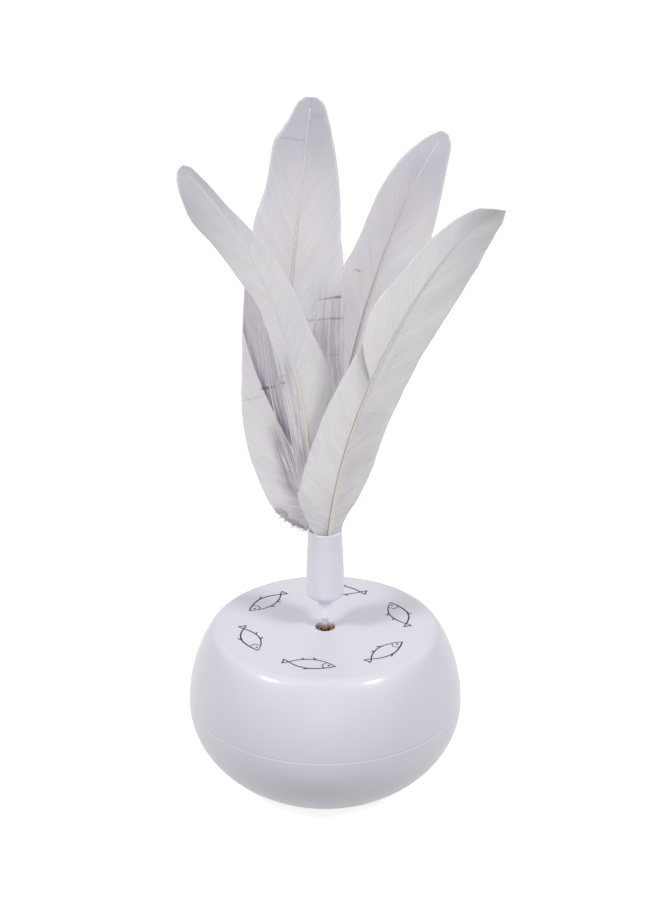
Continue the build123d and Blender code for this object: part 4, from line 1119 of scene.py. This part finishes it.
# The strokes of one fish, nose at +X, as shares of half its length and half its width,
# each with the share of the line width at its two ends.
FISH_STROKES = [
    ([(1.0, 0.0), (0.62, 0.66), (0.12, 1.0), (-0.36, 0.72), (-0.76, 0.06), (-0.86, -0.22)], 0.7, 0.9),
    ([(1.0, 0.0), (0.62, -0.56), (0.10, -0.94), (-0.38, -0.70), (-0.78, 0.0), (-0.88, 0.30)], 1.1, 0.8),
    ([(-0.86, 0.26), (-1.0, 0.42), (-0.97, 0.02), (-1.0, -0.36), (-0.85, -0.20)], 0.8, 0.8),
    ([(0.64, 0.56), (0.50, 0.06), (0.60, -0.52)], 0.5, 0.6),
    ([(0.20, 0.98), (0.06, 1.38)], 1.1, 0.7),
    ([(-0.22, 0.84), (-0.36, 1.12)], 1.0, 0.6),
    ([(0.04, -0.94), (-0.14, -1.26)], 1.1, 0.6),
]
FISH_EYE = (0.74, 0.10)
FISH_EYE_RADIUS = 0.46 * MM
EYE_SIDES = 14
INK_GRAIN = 1400


def ink_material():
    s = Shader("print_ink")
    spots = s.noise(s.object_place(), INK_GRAIN, 3, 0.6)
    shader = s.principled(
        Base_Color=s.mix(spots, INK, INK_WORN),
        Roughness=s.uneven(spots, 0.35, 0.5),
    )
    return s.finish(shader)


def smooth_stroke(knots):
    """A smooth curve through these knots."""
    knots = np.array(knots, float)
    before = 2 * knots[:1] - knots[1:2]
    after = 2 * knots[-1:] - knots[-2:-1]
    padded = np.concatenate([before, knots, after])
    made = []
    for t in np.linspace(0, len(knots) - 1, LINE_STEPS):
        i = min(int(t), len(knots) - 2)
        u = t - i
        a, b, c, d = padded[i : i + 4]
        square = 2 * a - 5 * b + 4 * c - d
        cube = 3 * b - a - 3 * c + d
        made.append(tuple(0.5 * (2 * b + (c - a) * u + square * u**2 + cube * u**3)))
    return made


def ribbon(points_2d, widths, low, high):
    """A flat closed strip along a line: points and faces."""
    line = np.array(points_2d)
    way = np.gradient(line, axis=0)
    way /= np.linalg.norm(way, axis=1, keepdims=True)
    side = np.stack([-way[:, 1], way[:, 0]], 1) * np.asarray(widths)[:, None] / 2
    points, faces = [], []
    for centre, offset in zip(line, side):
        for level in (low, high):
            points.append((*(centre - offset), level))
            points.append((*(centre + offset), level))
    for i in range(len(line) - 1):
        a, b = i * 4, i * 4 + 4
        faces += [
            (a + 2, b + 2, b + 3, a + 3),
            (a, a + 1, b + 1, b),
            (a, b, b + 2, a + 2),
            (a + 1, a + 3, b + 3, b + 1),
        ]
    last = (len(line) - 1) * 4
    faces += [(0, 2, 3, 1), (last, last + 1, last + 3, last + 2)]
    return points, faces


def disc(centre, radius, sides, low, high):
    """A flat closed disc: points and faces."""
    turns = [2 * math.pi * k / sides for k in range(sides)]
    ring = [(centre[0] + radius * math.cos(a), centre[1] + radius * math.sin(a)) for a in turns]
    points = [(*p, low) for p in ring] + [(*p, high) for p in ring]
    faces = [tuple(range(sides - 1, -1, -1)), tuple(range(sides, 2 * sides))]
    for k in range(sides):
        after = (k + 1) % sides
        faces.append((k, after, sides + after, sides + k))
    return points, faces


def make_fish(number, material):
    angle = math.radians(FISH_FIRST_ANGLE + number * 360 / FISH_COUNT)
    centre = (FISH_RING_RADIUS * math.cos(angle), FISH_RING_RADIUS * math.sin(angle))
    heading = angle + math.pi / 2
    low, high = TOP_Z - INK_SINK, TOP_Z + INK_RISE

    def placed(point):
        x, y = point[0] * FISH_LENGTH / 2, point[1] * FISH_WIDTH / 2
        return (
            centre[0] + x * math.cos(heading) - y * math.sin(heading),
            centre[1] + x * math.sin(heading) + y * math.cos(heading),
        )

    points, faces = [], []
    swell = np.sin(np.linspace(0, np.pi, LINE_STEPS)) * LINE_SWELL
    for knots, first, last in FISH_STROKES:
        line = [placed(p) for p in smooth_stroke(knots)]
        widths = (np.linspace(first, last, LINE_STEPS) + swell) * LINE_WIDTH
        add_mesh(points, faces, *ribbon(line, widths, low, high))
    add_mesh(points, faces, *disc(placed(FISH_EYE), FISH_EYE_RADIUS, EYE_SIDES, low, high))
    new_piece(f"fish_print_{number + 1}", points, faces, material, BASE, smooth=False)


ink = ink_material()
for number in range(FISH_COUNT):
    make_fish(number, ink)


# Camera at the photograph's place

CAMERA_DISTANCE = 1100 * MM
CAMERA_PITCH = math.radians(25.4)
CAMERA_TARGET = Vector((1.7 * MM, 0, 125.9 * MM))
CAMERA_LENS = 128.8
SENSOR_WIDTH = 36
NEAREST = 0.01
FARTHEST = 50


def aim(thing, target, azimuth, elevation, distance):
    """Places a thing round a target, looking at it. Azimuth 0 is the camera's side."""
    flat = math.cos(elevation)
    way = Vector((math.sin(azimuth) * flat, -math.cos(azimuth) * flat, math.sin(elevation)))
    thing.location = target + distance * way
    thing.rotation_mode = "QUATERNION"
    thing.rotation_quaternion = (target - thing.location).to_track_quat("-Z", "Y")
    bpy.context.scene.collection.objects.link(thing)


def make_camera():
    data = bpy.data.cameras.new("camera")
    data.lens = CAMERA_LENS
    data.sensor_width = SENSOR_WIDTH
    data.clip_start = NEAREST
    data.clip_end = FARTHEST
    camera = bpy.data.objects.new("camera", data)
    aim(camera, CAMERA_TARGET, 0, CAMERA_PITCH, CAMERA_DISTANCE)
    bpy.context.scene.camera = camera


# Light: a softbox at each side, a weak one above and a wide one in front, and a plain world

LAMP_TARGET = Vector((0, 0, 90 * MM))
WORLD_LIGHT = 0.4
WHITE_LIGHT = 1.0

# Azimuth and elevation in degrees, distance, width and height in metres, and watts
SOFTBOXES = {
    "softbox_left": (-62, 42, 1.1, 0.24, 0.18, 4.8),
    "softbox_right": (54, 42, 1.1, 0.24, 0.18, 4.8),
    "softbox_top": (180, 68, 1.3, 0.9, 0.9, 0.5),
    "softbox_front": (0, 12, 2.0, 1.2, 0.8, 3.1),
}


def make_softbox(name, azimuth, elevation, distance, width, height, watts):
    """An area light aimed at the toy."""
    data = bpy.data.lights.new(name, "AREA")
    data.shape = "RECTANGLE"
    data.size = width
    data.size_y = height
    data.energy = watts
    light = bpy.data.objects.new(name, data)
    aim(light, LAMP_TARGET, math.radians(azimuth), math.radians(elevation), distance)


def make_world():
    """A dim world for the light that shows white behind the toy."""
    world = bpy.data.worlds.new("studio")
    world.use_nodes = True
    tree = NodeTree(world.node_tree, "ShaderNodeOutputWorld")
    grounds = []
    for strength in (WORLD_LIGHT, WHITE_LIGHT):
        ground = tree.node("ShaderNodeBackground")
        ground.inputs["Color"].default_value = WHITE
        ground.inputs["Strength"].default_value = strength
        grounds.append(ground)
    tree.show(tree.blend(tree.seen(), *grounds))
    bpy.context.scene.world = world


# Floor

FLOOR_HALF = 6.0
PAPER_GREY = (0.41, 0.41, 0.41, 1)
PAPER_GLOW = 0.83


def make_floor():
    """A pale floor that shows white and keeps the toy's shadow."""
    corners = [(x * FLOOR_HALF, y * FLOOR_HALF, 0) for x, y in ((-1, -1), (1, -1), (1, 1), (-1, 1))]
    mesh = bpy.data.meshes.new("floor")
    mesh.from_pydata(corners, [], [(0, 1, 2, 3)])
    floor = bpy.data.objects.new("floor", mesh)
    bpy.context.scene.collection.objects.link(floor)
    s = Shader("floor_pale")
    paper = s.node("ShaderNodeBsdfDiffuse")
    paper.inputs["Color"].default_value = PAPER_GREY
    glow = s.node("ShaderNodeEmission")
    glow.inputs["Color"].default_value = WHITE
    s.feed(glow.inputs["Strength"], s.times(s.seen(), PAPER_GLOW))
    both = s.node("ShaderNodeAddShader")
    s.link(paper.outputs[0], both.inputs[0])
    s.link(glow.outputs[0], both.inputs[1])
    mesh.materials.append(s.finish(both))


make_camera()
for name, box in SOFTBOXES.items():
    make_softbox(name, *box)
make_world()
make_floor()
bpy.context.scene.view_settings.view_transform = "Standard"
